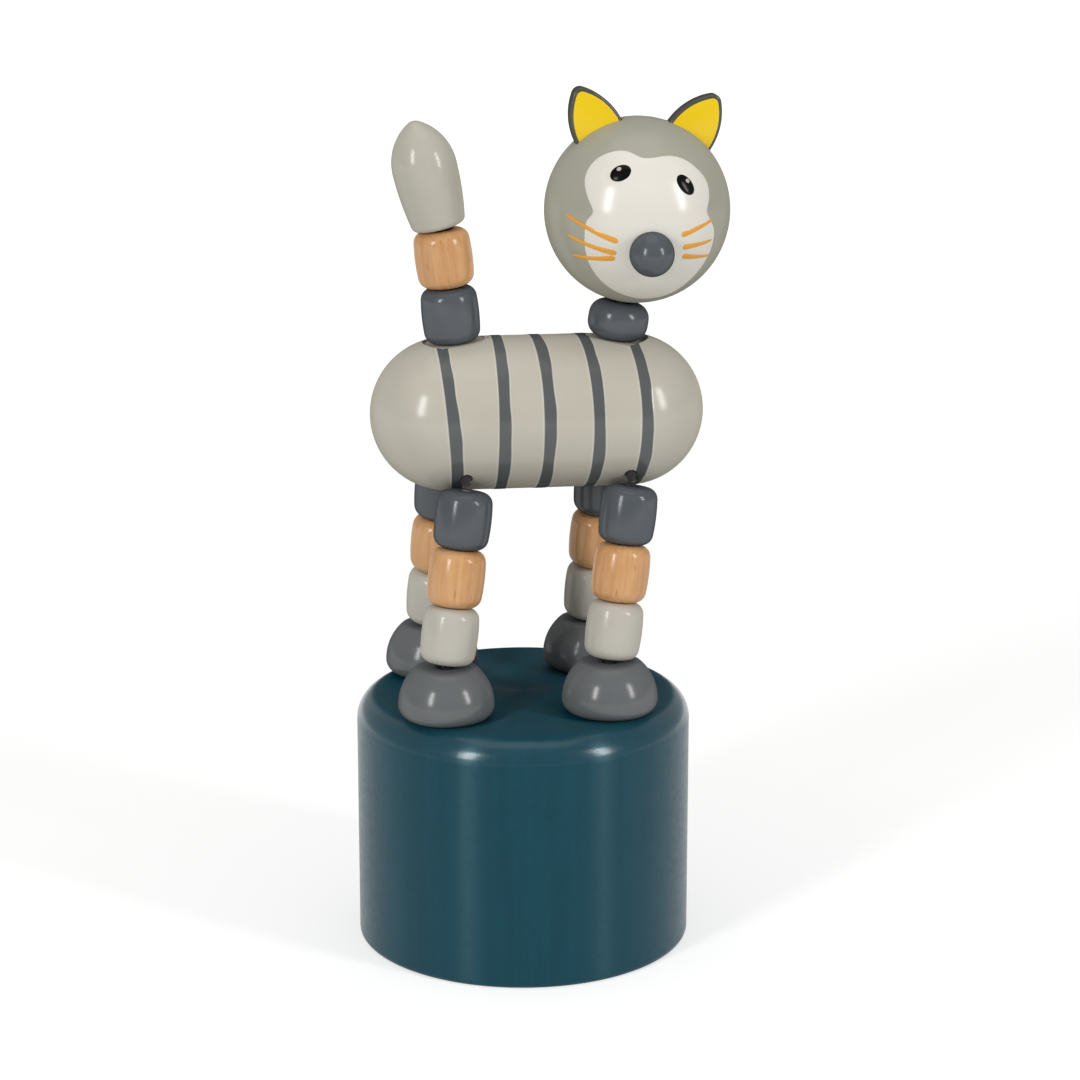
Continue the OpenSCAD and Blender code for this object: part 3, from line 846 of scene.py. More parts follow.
def brushed_drum():
    """Drum lacquer brushed up and down: tall streaks of gloss, a polished rim and a duller top."""
    material = lacquer("teal_lacquer", teal_colour, turned=False, coat=0.0, specular=0.36, clouding=0.12)
    tree = material.node_tree
    shader = next(node for node in tree.nodes if node.type == "BSDF_PRINCIPLED")
    place = coordinates(tree)
    high = parts_of(place)[2]
    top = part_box("base_drum")[1].z
    dull = ranged(high, *(top - depth for depth in DRUM_DULL), *DRUM_ROUGHNESS)
    rim = ranged(high, *(top - depth for depth in DRUM_RIM), 0.0, COAT)
    wear = noise(place, 1100.0, 3.0, 0.65)
    fill(tree, shader, {
        "Coat Weight": rim * ranged(dull, 0.5, 0.9, 1.0, 0.0),
        "Roughness": wear * DRUM_WEAR + (dull - DRUM_WEAR / 2),
        "Specular Tint": DRUM_GLOSS, "Anisotropic": 0.95, "Anisotropic Rotation": 0.25,
    })
    return material


def stripe_colour(tree):
    """Dark stripe with a pale line along both edges, which fades into the body's grey."""
    s, c = sizes(), colours()
    side = take(tree, "ShaderNodeAttribute", output="Fac", attribute_name="across").math("ABSOLUTE")
    core = s.stripe_w / (s.stripe_w + 2 * s.border_w)
    edged = blend_colours(tree, ranged(side, core - 0.08, core + 0.08), c.stripe, c.border)
    return blend_colours(tree, ranged(side, core + 0.1, 0.98), edged, c.warm)


def cotton():
    """Waxed cotton cord with fine fibres, near black: partly the cord's own colour and partly painted shade for
    the hip holes and the gaps between beads.
    """
    material, tree, shader = start_finish("cotton_cord_painted_shade")
    place = coordinates(tree)
    fibres = noise(place, 5200.0, 3.0, 0.7)
    share = fibres * 0.5 + noise(place, 260.0) * 0.4
    # The cord's near-black colour is partly painted shade where the cords show at the hips and between beads
    colour = colours().cord
    fill(tree, shader, {
        "Base Color": blend_colours(tree, share, colour, [0.62 * c for c in colour]),
        "Roughness": ranged(fibres, 0.2, 0.8, 0.75, 0.95), "Sheen Weight": 0.3,
        "Normal": bumps(fibres, *CORD_BUMP),
    })
    return material


def drawn_steel():
    """Drawn spring wire with faint stains."""
    material, tree, shader = start_finish("spring_wire")
    place = coordinates(tree)
    stains = noise(place, 240.0, 3.0)
    lines = noise(place, 4200.0, 1.0)
    colour = colours().steel
    fill(tree, shader, {
        "Base Color": blend_colours(tree, stains, colour, [0.6 * c for c in colour]),
        "Roughness": ranged(lines, 0.2, 0.8, 0.22, 0.42), "Metallic": 1.0, "Normal": bumps(lines, *WIRE_BUMP),
    })
    return material


# Stage

CAMERA_PLACE = (-0.05010, -0.42688, 0.17340)
CAMERA_TURN = (math.radians(74.63), 0.0, math.radians(-7.0))
CAMERA_LENS = 111.0
CAMERA_SENSOR = 36.0
CAMERA_START = 0.01
WHITE = (1.0, 1.0, 1.0, 1.0)
FLOOR_REACH = 3.0
# Distances from the toy between which the floor's glow grows, and the glow at both
FLOOR_GLOW = (0.1, 0.7, 0.58, 0.85)
SKY_LIGHT = 0.38
LAMP_AIM = Vector((0.0, 0.0, 0.065))
LAMP_APART = 0.9
# Each side lamp: its name, its azimuth and elevation from the camera's side in degrees, and its power
SIDE_LAMPS = (("lamp_left", -38, 21, 3.3), ("lamp_right", 57, 21, 2.9))
SIDE_LAMP_SIZE = (0.14, 0.44)
TOP_LAMP_SIZE = (0.7, 0.7)
TOP_LAMP_POWER = 1.1


def lamp(name, way, size, power):
    """Area lamp that stands in a direction from the toy and faces it."""
    light = bpy.data.lights.new(name, "AREA")
    light.shape = "RECTANGLE"
    light.size, light.size_y = size
    light.energy = power
    thing = new_object(name, light)
    thing.location = LAMP_AIM + LAMP_APART * way
    thing.rotation_euler = (LAMP_AIM - thing.location).to_track_quat("-Z", "Y").to_euler()


def seen_share(tree):
    """1 for rays that show a background: from the camera, by reflection and through glass."""
    path = put(tree, "ShaderNodeLightPath").outputs
    camera, glossy, through = (
        Value(tree, path[kind]) for kind in ("Is Camera Ray", "Is Glossy Ray", "Is Transmission Ray")
    )
    return camera.math("MAXIMUM", glossy).math("MAXIMUM", through)


class PUPPET_OT_camera(bpy.types.Operator):
    """Sets up the camera at the photograph's viewing angle"""

    bl_idname = "puppet.camera"
    bl_label = "Camera"

    def execute(self, context):
        data = bpy.data.cameras.new("camera")
        data.lens = CAMERA_LENS
        data.sensor_width = CAMERA_SENSOR
        data.clip_start = CAMERA_START
        thing = new_object("camera", data)
        thing.location = CAMERA_PLACE
        thing.rotation_euler = CAMERA_TURN
        context.scene.camera = thing
        return {"FINISHED"}


class PUPPET_OT_stage(bpy.types.Operator):
    """Lays the pale floor and sets up soft lamps and a white surrounding"""

    bl_idname = "puppet.stage"
    bl_label = "Stage"

    def execute(self, context):
        self.lay_floor()
        world = bpy.data.worlds.new("studio")
        context.scene.world = world
        world.use_nodes = True
        tree = world.node_tree
        tree.nodes.clear()
        sky = take(tree, "ShaderNodeBackground", {"Color": WHITE, "Strength": SKY_LIGHT})
        put(tree, "ShaderNodeOutputWorld", {"Surface": sky})
        toward = Matrix.Rotation(CAMERA_TURN[2], 3, "Z")
        for name, azimuth, elevation, power in SIDE_LAMPS:
            a, e = math.radians(azimuth), math.radians(elevation)
            way = Vector((math.sin(a) * math.cos(e), -math.cos(a) * math.cos(e), math.sin(e)))
            lamp(name, toward @ way, SIDE_LAMP_SIZE, power)
        lamp("lamp_above", UP, TOP_LAMP_SIZE, TOP_LAMP_POWER)
        context.scene.view_settings.view_transform = "Standard"
        return {"FINISHED"}

    def lay_floor(self):
        """Pale floor whose glow makes it as white as the surrounding and leaves the toy's shadow."""
        mesh = bpy.data.meshes.new("floor")
        corners = [(x * FLOOR_REACH, y * FLOOR_REACH, 0) for x, y in ((-1, -1), (1, -1), (1, 1), (-1, 1))]
        mesh.from_pydata(corners, [], [(0, 1, 2, 3)])
        floor = new_object("floor", mesh)
        material, tree, shader = start_finish("pale_floor")
        apart = take(tree, "ShaderNodeVectorMath", {0: coordinates(tree)}, "Value", operation="LENGTH")
        fill(tree, shader, {
            "Base Color": solid_colour(colours().floor), "Roughness": 0.9, "Specular IOR Level": 0.0,
            "Emission Color": WHITE, "Emission Strength": seen_share(tree) * ranged(apart, *FLOOR_GLOW),
        })
        mesh.materials.append(material)


# Cords and spring

# Step along a cord that bends at a joint, and along one that stays straight
BENT_STEP = 0.12 * MM
STRAIGHT_STEP = 0.25 * MM
# How far a bend reaches into the pieces on both sides of a joint
BEND_REACH = 0.3 * MM
# Depth of the grooves between strands, as a share of the radius
CORD_GROOVE = 0.26
KNOT_GROOVE = 0.22
KNOT_LAY = 1.4 * MM
# Radius of a knot's cord as a share of the knot, and points along its loop
KNOT_TUBE = 0.26
KNOT_POINTS = 120
# Points along each turn of the spring
TURN_POINTS = 40


def lay_cords(name, runs, step):
    """Laid cords along runs of points."""
    s = sizes()
    points, edges = [], []
    for run in runs:
        first = len(points)
        points += run
        edges += [(first + a, first + b) for a, b in chain(run)]
    return grow(name, cord_tree, points, edges, {
        "Radius": s.cord_d / 2, "Lay": s.cord_lay, "Step": step, "Groove": CORD_GROOVE,
        "Material": once(cotton),
    })


def string_cords(name, nodes, runs, end):
    """Cords that run on through two neighbours, laid with the fine step of a cord at a joint, in place of their
    nodes.
    """
    piece = lay_cords("strung_" + name, runs, BENT_STEP)
    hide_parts(*nodes)
    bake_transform(piece)


def shorten(piece):
    """Gives a piece that hangs from the drum's ceiling a mesh of its own."""
    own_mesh(piece)


def trefoil(a):
    """Point at an angle along a trefoil that reaches 3 from its middle."""
    return Vector((
        math.sin(a) + 2 * math.sin(2 * a), math.cos(a) - 2 * math.cos(2 * a), -1.2 * math.sin(3 * a)
    ))


class PUPPET_OT_cords(bpy.types.Operator):
    """Lays the twisted cords in their bores and ties their knots under the button"""

    bl_idname = "puppet.cords"
    bl_label = "Cords and knots"

    def execute(self, context):
        done = self.string_legs() + self.string_back() + ["cord_knots"]
        for node, slot in SLOT_OF.items():
            if slot != "cord" or node in done:
                continue
            piece = lay_cords("laid_" + node, rods_of(node), STRAIGHT_STEP)
            hand_over(piece, node)
            if node == "base_cords":
                shorten(piece)
        self.tie_knots()
        return {"FINISHED"}

    def string_legs(self):
        """Each leg's cord from its foot into the lower bead, and the front legs' cords on to the hips."""
        done = []
        for leg in LEGS:
            nodes = ["cord_foot_" + leg, "cord_lower_" + leg]
            (foot_low, foot_high), (bead_low, bead_high) = (rods_of(node)[0] for node in nodes)
            axis = (bead_high - bead_low).normalized()
            string_cords(
                "foot_" + leg, nodes,
                [[foot_low, foot_high, bead_low, bead_high]],
                bead_low + axis * BEND_REACH,
            )
            done += nodes
        for leg in ("front_left", "front_right"):
            node = "cord_upper_" + leg
            low, high = rods_of(node)[0]
            hip = min((rod[0] for rod in rods_of("body_cords")), key=lambda end: (end - high).length)
            axis = (high - low).normalized()
            string_cords(
                "hip_" + leg, [node], [[low, high, hip]],
                hip,
            )
            done.append(node)
        return done

    def string_back(self):
        """The front cords from the hips through the neck to the head, and the rear ones through the tail."""
        rods = rods_of("body_cords")
        tail = ("tail_cords_lower", "tail_cords_middle", "tail_cords_tip")
        # Each chain: name, last body, nodes, cords in the body, early start and late end of its bend
        chains = (
            ("neck", "head_cords", ("neck_cords", "head_cords"), rods[2:], 0.0 * MM, 3.0 * MM),
            ("tail", "tail_tip", tail, rods[:2], 8.0 * MM, 4.0 * MM),
        )
        done = ["body_cords"]
        for name, body, nodes, pair, early, late in chains:
            runs = []
            for low, high in pair:
                run = [low, high]
                for node in nodes:
                    run += min(rods_of(node), key=lambda rod: (rod[0] - run[-1]).length)
                runs.append(run)
            start = (runs[0][2] + runs[1][2]) / 2 - UP * early
            end = (runs[0][-2] + runs[1][-2]) / 2
            inward = (runs[0][-1] - runs[0][-2]).normalized()
            string_cords(name, ["body_cords", *nodes], runs, end + inward * late)
            done += nodes
        return done

    def tie_knots(self):
        """Overhand knots: one tube along a trefoil for each cord."""
        d = sizes().knot_d
        radius = KNOT_TUBE * d
        points, edges = [], []
        for centre in self.knot_middles():
            first = len(points)
            for k in range(KNOT_POINTS):
                points.append(centre + trefoil(TAU * k / KNOT_POINTS) * (d / 2 - radius) / 3)
                edges.append((first + k, first + (k + 1) % KNOT_POINTS))
        piece = grow("tied_knots", cord_tree, points, edges, {
            "Radius": radius, "Lay": KNOT_LAY, "Step": BENT_STEP, "Groove": KNOT_GROOVE,
            "Material": once(cotton),
        })
        hand_over(piece, "cord_knots")

    def knot_middles(self):
        """Middles of the four knots, which lie in the corners of their node's box."""
        low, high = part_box("cord_knots")
        inset = sizes().knot_d / 2
        for x in (low.x + inset, high.x - inset):
            for y in (low.y + inset, high.y - inset):
                yield Vector((x, y, (low.z + high.z) / 2))


class PUPPET_OT_spring(bpy.types.Operator):
    """Winds the spring between the button and the drum's ceiling"""

    bl_idname = "puppet.spring"
    bl_label = "Spring"

    def execute(self, context):
        s = sizes()
        low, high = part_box("spring")
        points = [(0.0, 0.0, k * MM) for k in range(TURN_POINTS * (s.spring_turns + 2) + 1)]
        piece = grow("wound_spring", coil_tree, points, chain(points), {
            "Radius": s.spring_r, "Wire": s.wire_d, "Low": low.z, "High": high.z,
            "Turns": float(s.spring_turns), "Material": once(drawn_steel),
        })
        hand_over(piece, "spring")
        shorten(piece)
        return {"FINISHED"}


# Drum and button

class PUPPET_OT_drum(bpy.types.Operator):
    """Lacquers the drum and the wooden button"""

    bl_idname = "puppet.drum"
    bl_label = "Drum and button"

    def execute(self, context):
        coat_with(frame["nodes"]["base_drum"], brushed_drum())
        coat_with(frame["nodes"]["push_button"], clear_wood("button_beech", turned=False))
        return {"FINISHED"}


# Feet and legs

# Small step between a foot's side and its flat top: the top's inset, and the angle left out of the side
FOOT_LIP = 0.3 * MM
FOOT_LIP_TURN = 2


def foot_outline(s):
    """Half outline of a bell-shaped foot."""
    side = s.foot_h - s.foot_edge
    inset = (s.foot_d - s.foot_top) / 2
    dome = (inset ** 2 + side ** 2) / (2 * inset)
    top = math.degrees(math.asin(side / dome))
    flat = s.foot_d / 2 - s.foot_edge
    return bored_outline(
        s.bore, s.foot_h, flat, s.foot_top / 2 - FOOT_LIP, 5,
        arc((flat, s.foot_edge), s.foot_edge, -90, 0, 14),
        arc((s.foot_d / 2 - dome, s.foot_edge), dome, 0, top - FOOT_LIP_TURN, 20),
    )


class PUPPET_OT_feet(bpy.types.Operator):
    """Turns the four bell-shaped feet"""

    bl_idname = "puppet.feet"
    bl_label = "Feet"

    def execute(self, context):
        outline = foot_outline(sizes())
        finish = lacquer("foot_lacquer", colours().foot)
        for shift, leg in enumerate(LEGS, FIRST_SHIFT["foot"]):
            node = "foot_" + leg
            place = middle_of(node)
            place.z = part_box(node)[0].z
            hand_over(lathe("turned_" + node, outline, place, UP, finish, shift, FINE_SEGMENTS), node)
        return {"FINISHED"}


def leg_axis(leg):
    """Unit vector up a leg."""
    s = sizes()
    if leg.endswith("left"):
        return column(s.left_lean, -s.splay)
    return column(s.right_lean, s.splay)


class PUPPET_OT_legs(bpy.types.Operator):
    """Turns the twelve leg beads"""

    bl_idname = "puppet.legs"
    bl_label = "Leg beads"

    def execute(self, context):
        s, c = sizes(), colours()
        finishes = {
            "leg_lower_": lacquer("pale_lacquer", c.pale),
            "leg_middle_": clear_wood("clear_beech"),
            "leg_upper_": lacquer("dark_lacquer", c.dark),
        }
        beads = [(kind, leg) for kind in finishes for leg in LEGS]
        for shift, (kind, leg) in enumerate(beads, FIRST_SHIFT["leg"]):
            turn_bead(
                kind + leg, s.bead_d, s.bead_h, s.bead_edge, s.bead_bulge, s.bore, leg_axis(leg),
                finishes[kind], shift,
            )
        return {"FINISHED"}


# Body and stripes

# Each stripe: place along the body, lean towards the top and sweep towards the viewer's side, in mm
STRIPES = ((-10.1, -0.9, 0.05), (-3.45, 0.0, 0.0), (1.7, 0.0, 0.75), (7.93, -0.1, 1.0), (13.68, 0.1, 1.55))
STRIPE_SEGMENTS = 192
STRIPE_UNEVENNESS = 0.55
# Difference between the seeds of neighbouring stripes
STRIPE_SEED = 3.7
SECTION_STEPS = 16
# Depth of a paint film's underside below the surface
FILM_SINK = 0.05 * MM
# How far a hip hole's cutter stands out of the hole, and its length
HOLE_OUT = 1 * MM
HOLE_REACH = 4 * MM


def film_section():
    """Closed section of a stripe's paint film: crowned on top, flat below the surface."""
    top = []
    for k in range(SECTION_STEPS + 1):
        v = -1 + 2 * k / SECTION_STEPS
        top.append((v, 0.0, sizes().film * (1 - abs(v) ** 5) - 0.2 * FILM_SINK))
    return outline_of(top, [(v, 0.0, -FILM_SINK) for v in (1.0, 0.0, -1.0)], top[:1])


def open_places(s):
    """Solid of the two bead seats and the four hip holes in the body, which no stripe covers."""
    shell = bmesh.new()

    def rod(start, axis, radius, reach):
        turned = UP.rotation_difference(axis).to_matrix().to_4x4()
        bmesh.ops.create_cone(
            shell, cap_ends=True, segments=SEGMENTS, radius1=radius, radius2=radius, depth=reach,
            matrix=Matrix.Translation(start + axis * reach / 2) @ turned,
        )

    for node, d, h, axis in (
        ("neck_bead", s.neck_d, s.neck_h, column(s.head_lean)),
        ("tail_lower", s.tail_d, s.tail_lower_h, column(-s.tail_lower_lean)),
    ):
        rod(middle_of(node) - axis * (h / 2 + s.bead_gap), axis, d / 2 + s.seat_gap, s.body_d / 4)
    for low, high in rods_of("body_cords"):
        axis = (high - low).normalized()
        rod(low - axis * HOLE_OUT, axis, s.bore / 2, HOLE_REACH)
    return piece_of("open_places", shell)


class PUPPET_OT_body(bpy.types.Operator):
    """Lacquers the body and paints its five stripes"""

    bl_idname = "puppet.body"
    bl_label = "Body and stripes"

    def execute(self, context):
        s = sizes()
        coat_with(frame["nodes"]["body"], lacquer("body_lacquer", colours().warm, turned=False))
        low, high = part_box("body")
        section = film_section()
        finish = lacquer("stripe_paint", stripe_colour, turned=False, gloss=0.28, clouding=0.2)
        places = open_places(s)
        for k, (middle, lean, sweep) in enumerate(STRIPES):
            piece = grow(f"body_stripe_{k + 1}", band_tree, section, chain(section), {
                "Segments": STRIPE_SEGMENTS, "Middle": middle * MM, "Lean": lean * MM, "Sweep": sweep * MM,
                "Half Width": s.stripe_w / 2 + s.border_w, "Unevenness": STRIPE_UNEVENNESS,
                "Seed": STRIPE_SEED * k, "Body Middle": ((low.x + high.x) / 2, 0.0, low.z + s.body_d / 2),
                "Body Radius": s.body_d / 2, "Half Straight": s.body_straight / 2, "Material": finish,
            })
            trim = piece.modifiers.new("Open places", "BOOLEAN")
            trim.operation = "DIFFERENCE"
            trim.solver = "EXACT"
            trim.object = places
            bake(piece)
            coat_with(piece, finish)
            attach(piece, "body")
        bpy.data.objects.remove(places)
        return {"FINISHED"}


# Head and face

# The mask's edge, seen from the nose: angle round the nose and reach from it, in degrees
MASK_EDGE = (
    (15, 46), (36, 44), (43, 51.5), (51, 58), (62, 61), (74, 62.5), (84, 61.5), (97, 58.3), (105, 59),
    (113, 65), (121, 68), (131, 69), (140, 67), (148, 61.5), (154, 52), (159, 43.5), (171, 43.8),
    (-174, 42.2), (-145, 41.2), (-122, 41.4), (-100, 42.8), (-79, 45.5), (-58, 46.5), (-38, 44), (-17, 43.7),
)
MASK_STEPS = 240
MASK_RINGS = 40
# Radius of the mask's hole as a share of the nose, and the outer share of the mask that thins out
MASK_HOLE = 0.42
MASK_THIN = 0.06
# Each eye: its side, angle and reach from the nose, half length and half width in mm, tilt in degrees
EYES = (("right", 122.3, 51.8, 1.42, 1.08, 40.0), ("left", 67.9, 46.1, 1.52, 1.02, -48.0))
EYE_CROWN = 0.2 * MM
# The light in each eye: its reach past the eye's middle in degrees, half length and width, crown and lift
SHINE_PAST = 2.4
SHINE_SIZE = (0.3 * MM, 0.26 * MM)
SHINE_CROWN = 0.05 * MM
SHINE_LIFT = 0.19 * MM
OVAL_STEPS = 48
OVAL_RINGS = 10
# Each whisker: its name, the angle and reach of its tip, and the angle and reach of its root
WHISKERS = (
    ("right_upper", 175.5, 60.0, 175.2, 20.4), ("right_middle", -170.5, 55.0, -162.8, 20.6),
    ("right_lower", -154.3, 53.0, -154.3, 22.0), ("left_upper", 26.2, 46.5, 34.3, 20.6),
    ("left_middle", 8.2, 43.5, 11.2, 20.0), ("left_lower", -7.1, 45.0, -5.9, 21.0),
)
WHISKER_HALF = 0.42 * MM
WHISKER_CROWN = 0.06 * MM
WHISKER_SINK = 0.04 * MM
WHISKER_STEPS = 40
# Places across a whisker's crowned top
WHISKER_ACROSS = [-1 + j / 4 for j in range(9)]
# Shares of a whisker in which it swells and ends, its loss of width to the tip, and the least width
WHISKER_SWELL = 0.06
WHISKER_END = 0.05
WHISKER_LOSS = 0.62
WHISKER_LEAST = 0.04
# Softened edges of an ear and of its paint, and how thick the paint is and how deep it sits
EAR_SOFT = 0.32 * MM
EAR_PAINT_SOFT = 0.05 * MM
EAR_PAINT = 0.14 * MM
EAR_PAINT_SINK = 0.03 * MM
# Edges with a sharper turn than this get softened
SOFT_TURN = math.radians(40)


def head_place():
    """Middle of the head, and the turn from its own frame (+X face, +Y its left, +Z up) to the toy's."""
    s = sizes()
    lean = Matrix.Rotation(s.head_lean, 3, "Y") @ Matrix.Rotation(s.head_turn, 3, "Z")
    return Vector(JOINTS["head_turn"]["pos_m"]), lean


def on_head(way, out):
    """Point of the toy in a direction of the head's own frame, so far out of the head's surface."""
    centre, lean = head_place()
    return centre + lean @ (way * (sizes().head_d / 2 + out))


def face_frame():
    """The nose's direction, the face's left and the face's up, in the head's own frame."""
    drop = sizes().nose_drop
    out = Vector((math.cos(drop), 0.0, -math.sin(drop)))
    left = Vector((0.0, 1.0, 0.0))
    return out, left, out.cross(left)


def face_way(angle, reach):
    """Direction on the head at an angle round the nose (0 left, 90 up) and a reach from it, in degrees."""
    out, left, up = face_frame()
    a, r = math.radians(angle), math.radians(reach)
    return out * math.cos(r) + (left * math.cos(a) + up * math.sin(a)) * math.sin(r)


def smooth_ring(points, steps):
    """Closed smooth curve through (angle, reach) pairs, as pairs at even angles."""
    ring = sorted(points)
    before = [(angle - 360, reach) for angle, reach in ring[-2:]]
    after = [(angle + 360, reach) for angle, reach in ring[:2]]
    ring = before + ring + after
    values = []
    for k in range(steps):
        angle = -180 + 360 * k / steps
        n = max(i for i in range(1, len(ring) - 2) if ring[i][0] <= angle)
        (x0, y0), (x1, y1), (x2, y2), (x3, y3) = ring[n - 1:n + 3]
        t = (angle - x1) / (x2 - x1)
        m1 = (y2 - y0) / (x2 - x0) * (x2 - x1)
        m2 = (y3 - y1) / (x3 - x1) * (x2 - x1)
        rise = (2 * t ** 3 - 3 * t ** 2 + 1) * y1 + (t ** 3 - 2 * t ** 2 + t) * m1
        values.append((angle, rise + (-2 * t ** 3 + 3 * t ** 2) * y2 + (t ** 3 - t ** 2) * m2))
    return values


def patch(name, way_at, film, under, material, steps, rings):
    """Paint film on the head: way_at(step, share) is its direction from its middle to its edge."""
    shell = bmesh.new()
    rows = []
    for k in range(steps):
        loop = [on_head(way_at(k, j / rings), film(j / rings)) for j in range(rings + 1)]
        loop += [on_head(way_at(k, 1 - j / 3), under) for j in range(4)]
        rows.append([shell.verts.new(point) for point in loop])
    span_loops(shell, rows + rows[:1])
    bmesh.ops.remove_doubles(shell, verts=shell.verts, dist=1e-7)
    bmesh.ops.dissolve_degenerate(shell, edges=shell.edges, dist=1e-8)
    return coat_with(piece_of(name, shell), material)


def soften(piece, width, segments):
    """Rounds a piece's sharp edges."""
    bevel = piece.modifiers.new("Soft edges", "BEVEL")
    bevel.width = width
    bevel.segments = segments
    bevel.limit_method = "ANGLE"
    bevel.angle_limit = SOFT_TURN
    bake(piece)


class PUPPET_OT_head(bpy.types.Operator):
    """Lacquers the head, and makes the nose and the two painted ears"""

    bl_idname = "puppet.head"
    bl_label = "Head, nose and ears"

    def execute(self, context):
        coat_with(frame["nodes"]["head"], lacquer("head_lacquer", colours().head, turned=False))
        self.nose()
        for side, node in ((1, "ear_left"), (-1, "ear_right")):
            self.ear(side, node)
        return {"FINISHED"}

    def nose(self):
        """Turned ball that sits in the face."""
        s = sizes()
        out = face_frame()[0]
        ball = arc((0.0, 0.0), s.nose_d / 2, -90, 90, 48)
        axis = head_place()[1] @ out
        finish = lacquer("nose_lacquer", colours().dark)
        piece = lathe("turned_nose", ball, on_head(out, s.nose_out), axis, finish, FIRST_SHIFT["nose"])
        hand_over(piece, "nose")

    def ear(self, side, node):
        """Leaf with a rounded tip and softened edges, grey behind and yellow in front."""
        s = sizes()
        centre, lean = head_place()
        spread = Matrix.Rotation(s.ear_roll - side * s.ear_spread, 3, "X")
        root = math.sqrt((s.head_d / 2) ** 2 - (s.ear_w / 2) ** 2 - (s.ear_t / 2) ** 2)

        def put_in(x, y, z):
            return centre + lean @ (spread @ Vector((x, y, z + root)))

        whole = self.leaf(node + "_leaf", s.ear_w, s.ear_h, s.ear_tip, s.ear_root, s.ear_t, 0.0, put_in)
        soften(whole, EAR_SOFT, 3)
        coat_with(whole, lacquer("ear_grey", colours().rim, turned=False))
        hand_over(whole, node)
        front = self.leaf(
            node + "_yellow", s.ear_w - 2 * s.ear_rim, s.ear_h - 1.3 * s.ear_rim, s.ear_tip * 0.7, 0.0,
            EAR_PAINT, s.ear_t / 2 - EAR_PAINT_SINK, put_in,
        )
        soften(front, EAR_PAINT_SOFT, 2)
        coat_with(front, lacquer("ear_yellow", colours().yellow, turned=False, clouding=0.12))
        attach(front, "head")

    def leaf(self, name, w, h, tip, root, thick, shift, put_in):
        """Flat leaf: straight root, bowed sides, round tip."""
        tip_z = h - tip
        bow = (tip_z ** 2 + (w / 2) ** 2 - tip ** 2) / (w - 2 * tip)
        join = math.degrees(math.asin(tip_z / (bow - tip)))
        right = arc((w / 2 - bow, 0.0), bow, 0, join, 16)
        cap = arc((0.0, tip_z), tip, join, 180 - join, 10)
        left = [(-x, 0.0, z) for x, _, z in reversed(right)]
        edge = outline_of([(w / 2, 0.0, -root)], right, cap, left, [(-w / 2, 0.0, -root)])
        shell = bmesh.new()
        front, back = (
            [shell.verts.new(put_in(face, x, z)) for x, _, z in edge]
            for face in (shift + thick / 2, shift - thick / 2)
        )
        shell.faces.new(front)
        shell.faces.new(list(reversed(back)))
        span_loops(shell, [front, back])
        return piece_of(name, shell)


class PUPPET_OT_face(bpy.types.Operator):
    """Paints the mask, the eyes and the six whiskers"""

    bl_idname = "puppet.face"
    bl_label = "Painted face"

    def execute(self, context):
        c = colours()
        self.mask(lacquer("mask_paint", c.mask, turned=False, clouding=0.06))
        eye = lacquer("eye_paint", c.eye, turned=False, gloss=0.2, coat=0.0, specular=0.15)
        shine = lacquer("shine_paint", c.shine, turned=False, coat=0.0)
        for side, angle, reach, long, wide, tilt in EYES:
            self.oval("eye_" + side, face_way(angle, reach), long * MM, wide * MM, tilt, EYE_CROWN, 0.0, eye)
            spot = face_way(angle, reach + SHINE_PAST)
            self.oval("eye_shine_" + side, spot, *SHINE_SIZE, tilt, SHINE_CROWN, SHINE_LIFT, shine)
        finish = lacquer("whisker_paint", c.whisker, turned=False, clouding=0.2)
        for name, tip_angle, tip_reach, root_angle, root_reach in WHISKERS:
            root = face_way(root_angle, root_reach)
            self.whisker("whisker_" + name, root, face_way(tip_angle, tip_reach), finish)
        return {"FINISHED"}

    def mask(self, material):
        """Pale film round the nose that thins out at its edge."""
        s = sizes()
        ring = smooth_ring(MASK_EDGE, MASK_STEPS)
        hole = math.degrees(math.asin(MASK_HOLE * s.nose_d / (s.head_d / 2)))

        def way_at(k, share):
            angle, reach = ring[k]
            return face_way(angle, hole + (reach - hole) * share)

        def film(share):
            return s.film * (1 - max(0.0, 1 - (1 - share) / MASK_THIN) ** 2)

        piece = patch("face_mask", way_at, film, -FILM_SINK, material, MASK_STEPS, MASK_RINGS)
        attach(piece, "head")

    def oval(self, name, middle, long, wide, tilt, crown, lift, material):
        """Small crowned drop of paint."""
        s = sizes()
        left = UP.cross(middle).normalized()
        tilted = math.radians(tilt)
        first = left * math.cos(tilted) + middle.cross(left) * math.sin(tilted)
        second = middle.cross(first)

        def way_at(k, share):
            a = TAU * k / OVAL_STEPS
            way = first * (long * math.cos(a)) + second * (wide * math.sin(a))
            return (middle * (s.head_d / 2) + way * share).normalized()

        def film(share):
            return s.film + lift + crown * math.sqrt(max(0.0, 1 - share ** 2))

        piece = patch(name, way_at, film, lift, material, OVAL_STEPS, OVAL_RINGS)
        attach(piece, "head")

    def whisker(self, name, root, tip, material):
        """Brush stroke that starts full at its root and thins out to its tip."""
        s = sizes()
        along = (tip - root).normalized()
        shell = bmesh.new()
        rows = []
        for k in range(WHISKER_STEPS + 1):
            t = k / WHISKER_STEPS
            way = root.lerp(tip, t).normalized()
            side = way.cross(along).normalized()
            swell = math.sqrt(min(1.0, t / WHISKER_SWELL)) * math.sqrt(min(1.0, (1 - t) / WHISKER_END))
            taper = swell * (1 - WHISKER_LOSS * t)
            half = WHISKER_HALF * max(taper, WHISKER_LEAST)
            crown = WHISKER_CROWN * min(1.0, 3 * taper)
            section = [(v, s.film + crown * (1 - v * v)) for v in WHISKER_ACROSS]
            section += [(v, -WHISKER_SINK) for v in (1, 0, -1)]
            rows.append([
                shell.verts.new(on_head((way * (s.head_d / 2) + side * half * v).normalized(), out))
                for v, out in section
            ])
        span_loops(shell, rows)
        shell.faces.new(rows[0])
        shell.faces.new(list(reversed(rows[-1])))
        piece = coat_with(piece_of(name, shell), material)
        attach(piece, "head")


# Neck and tail

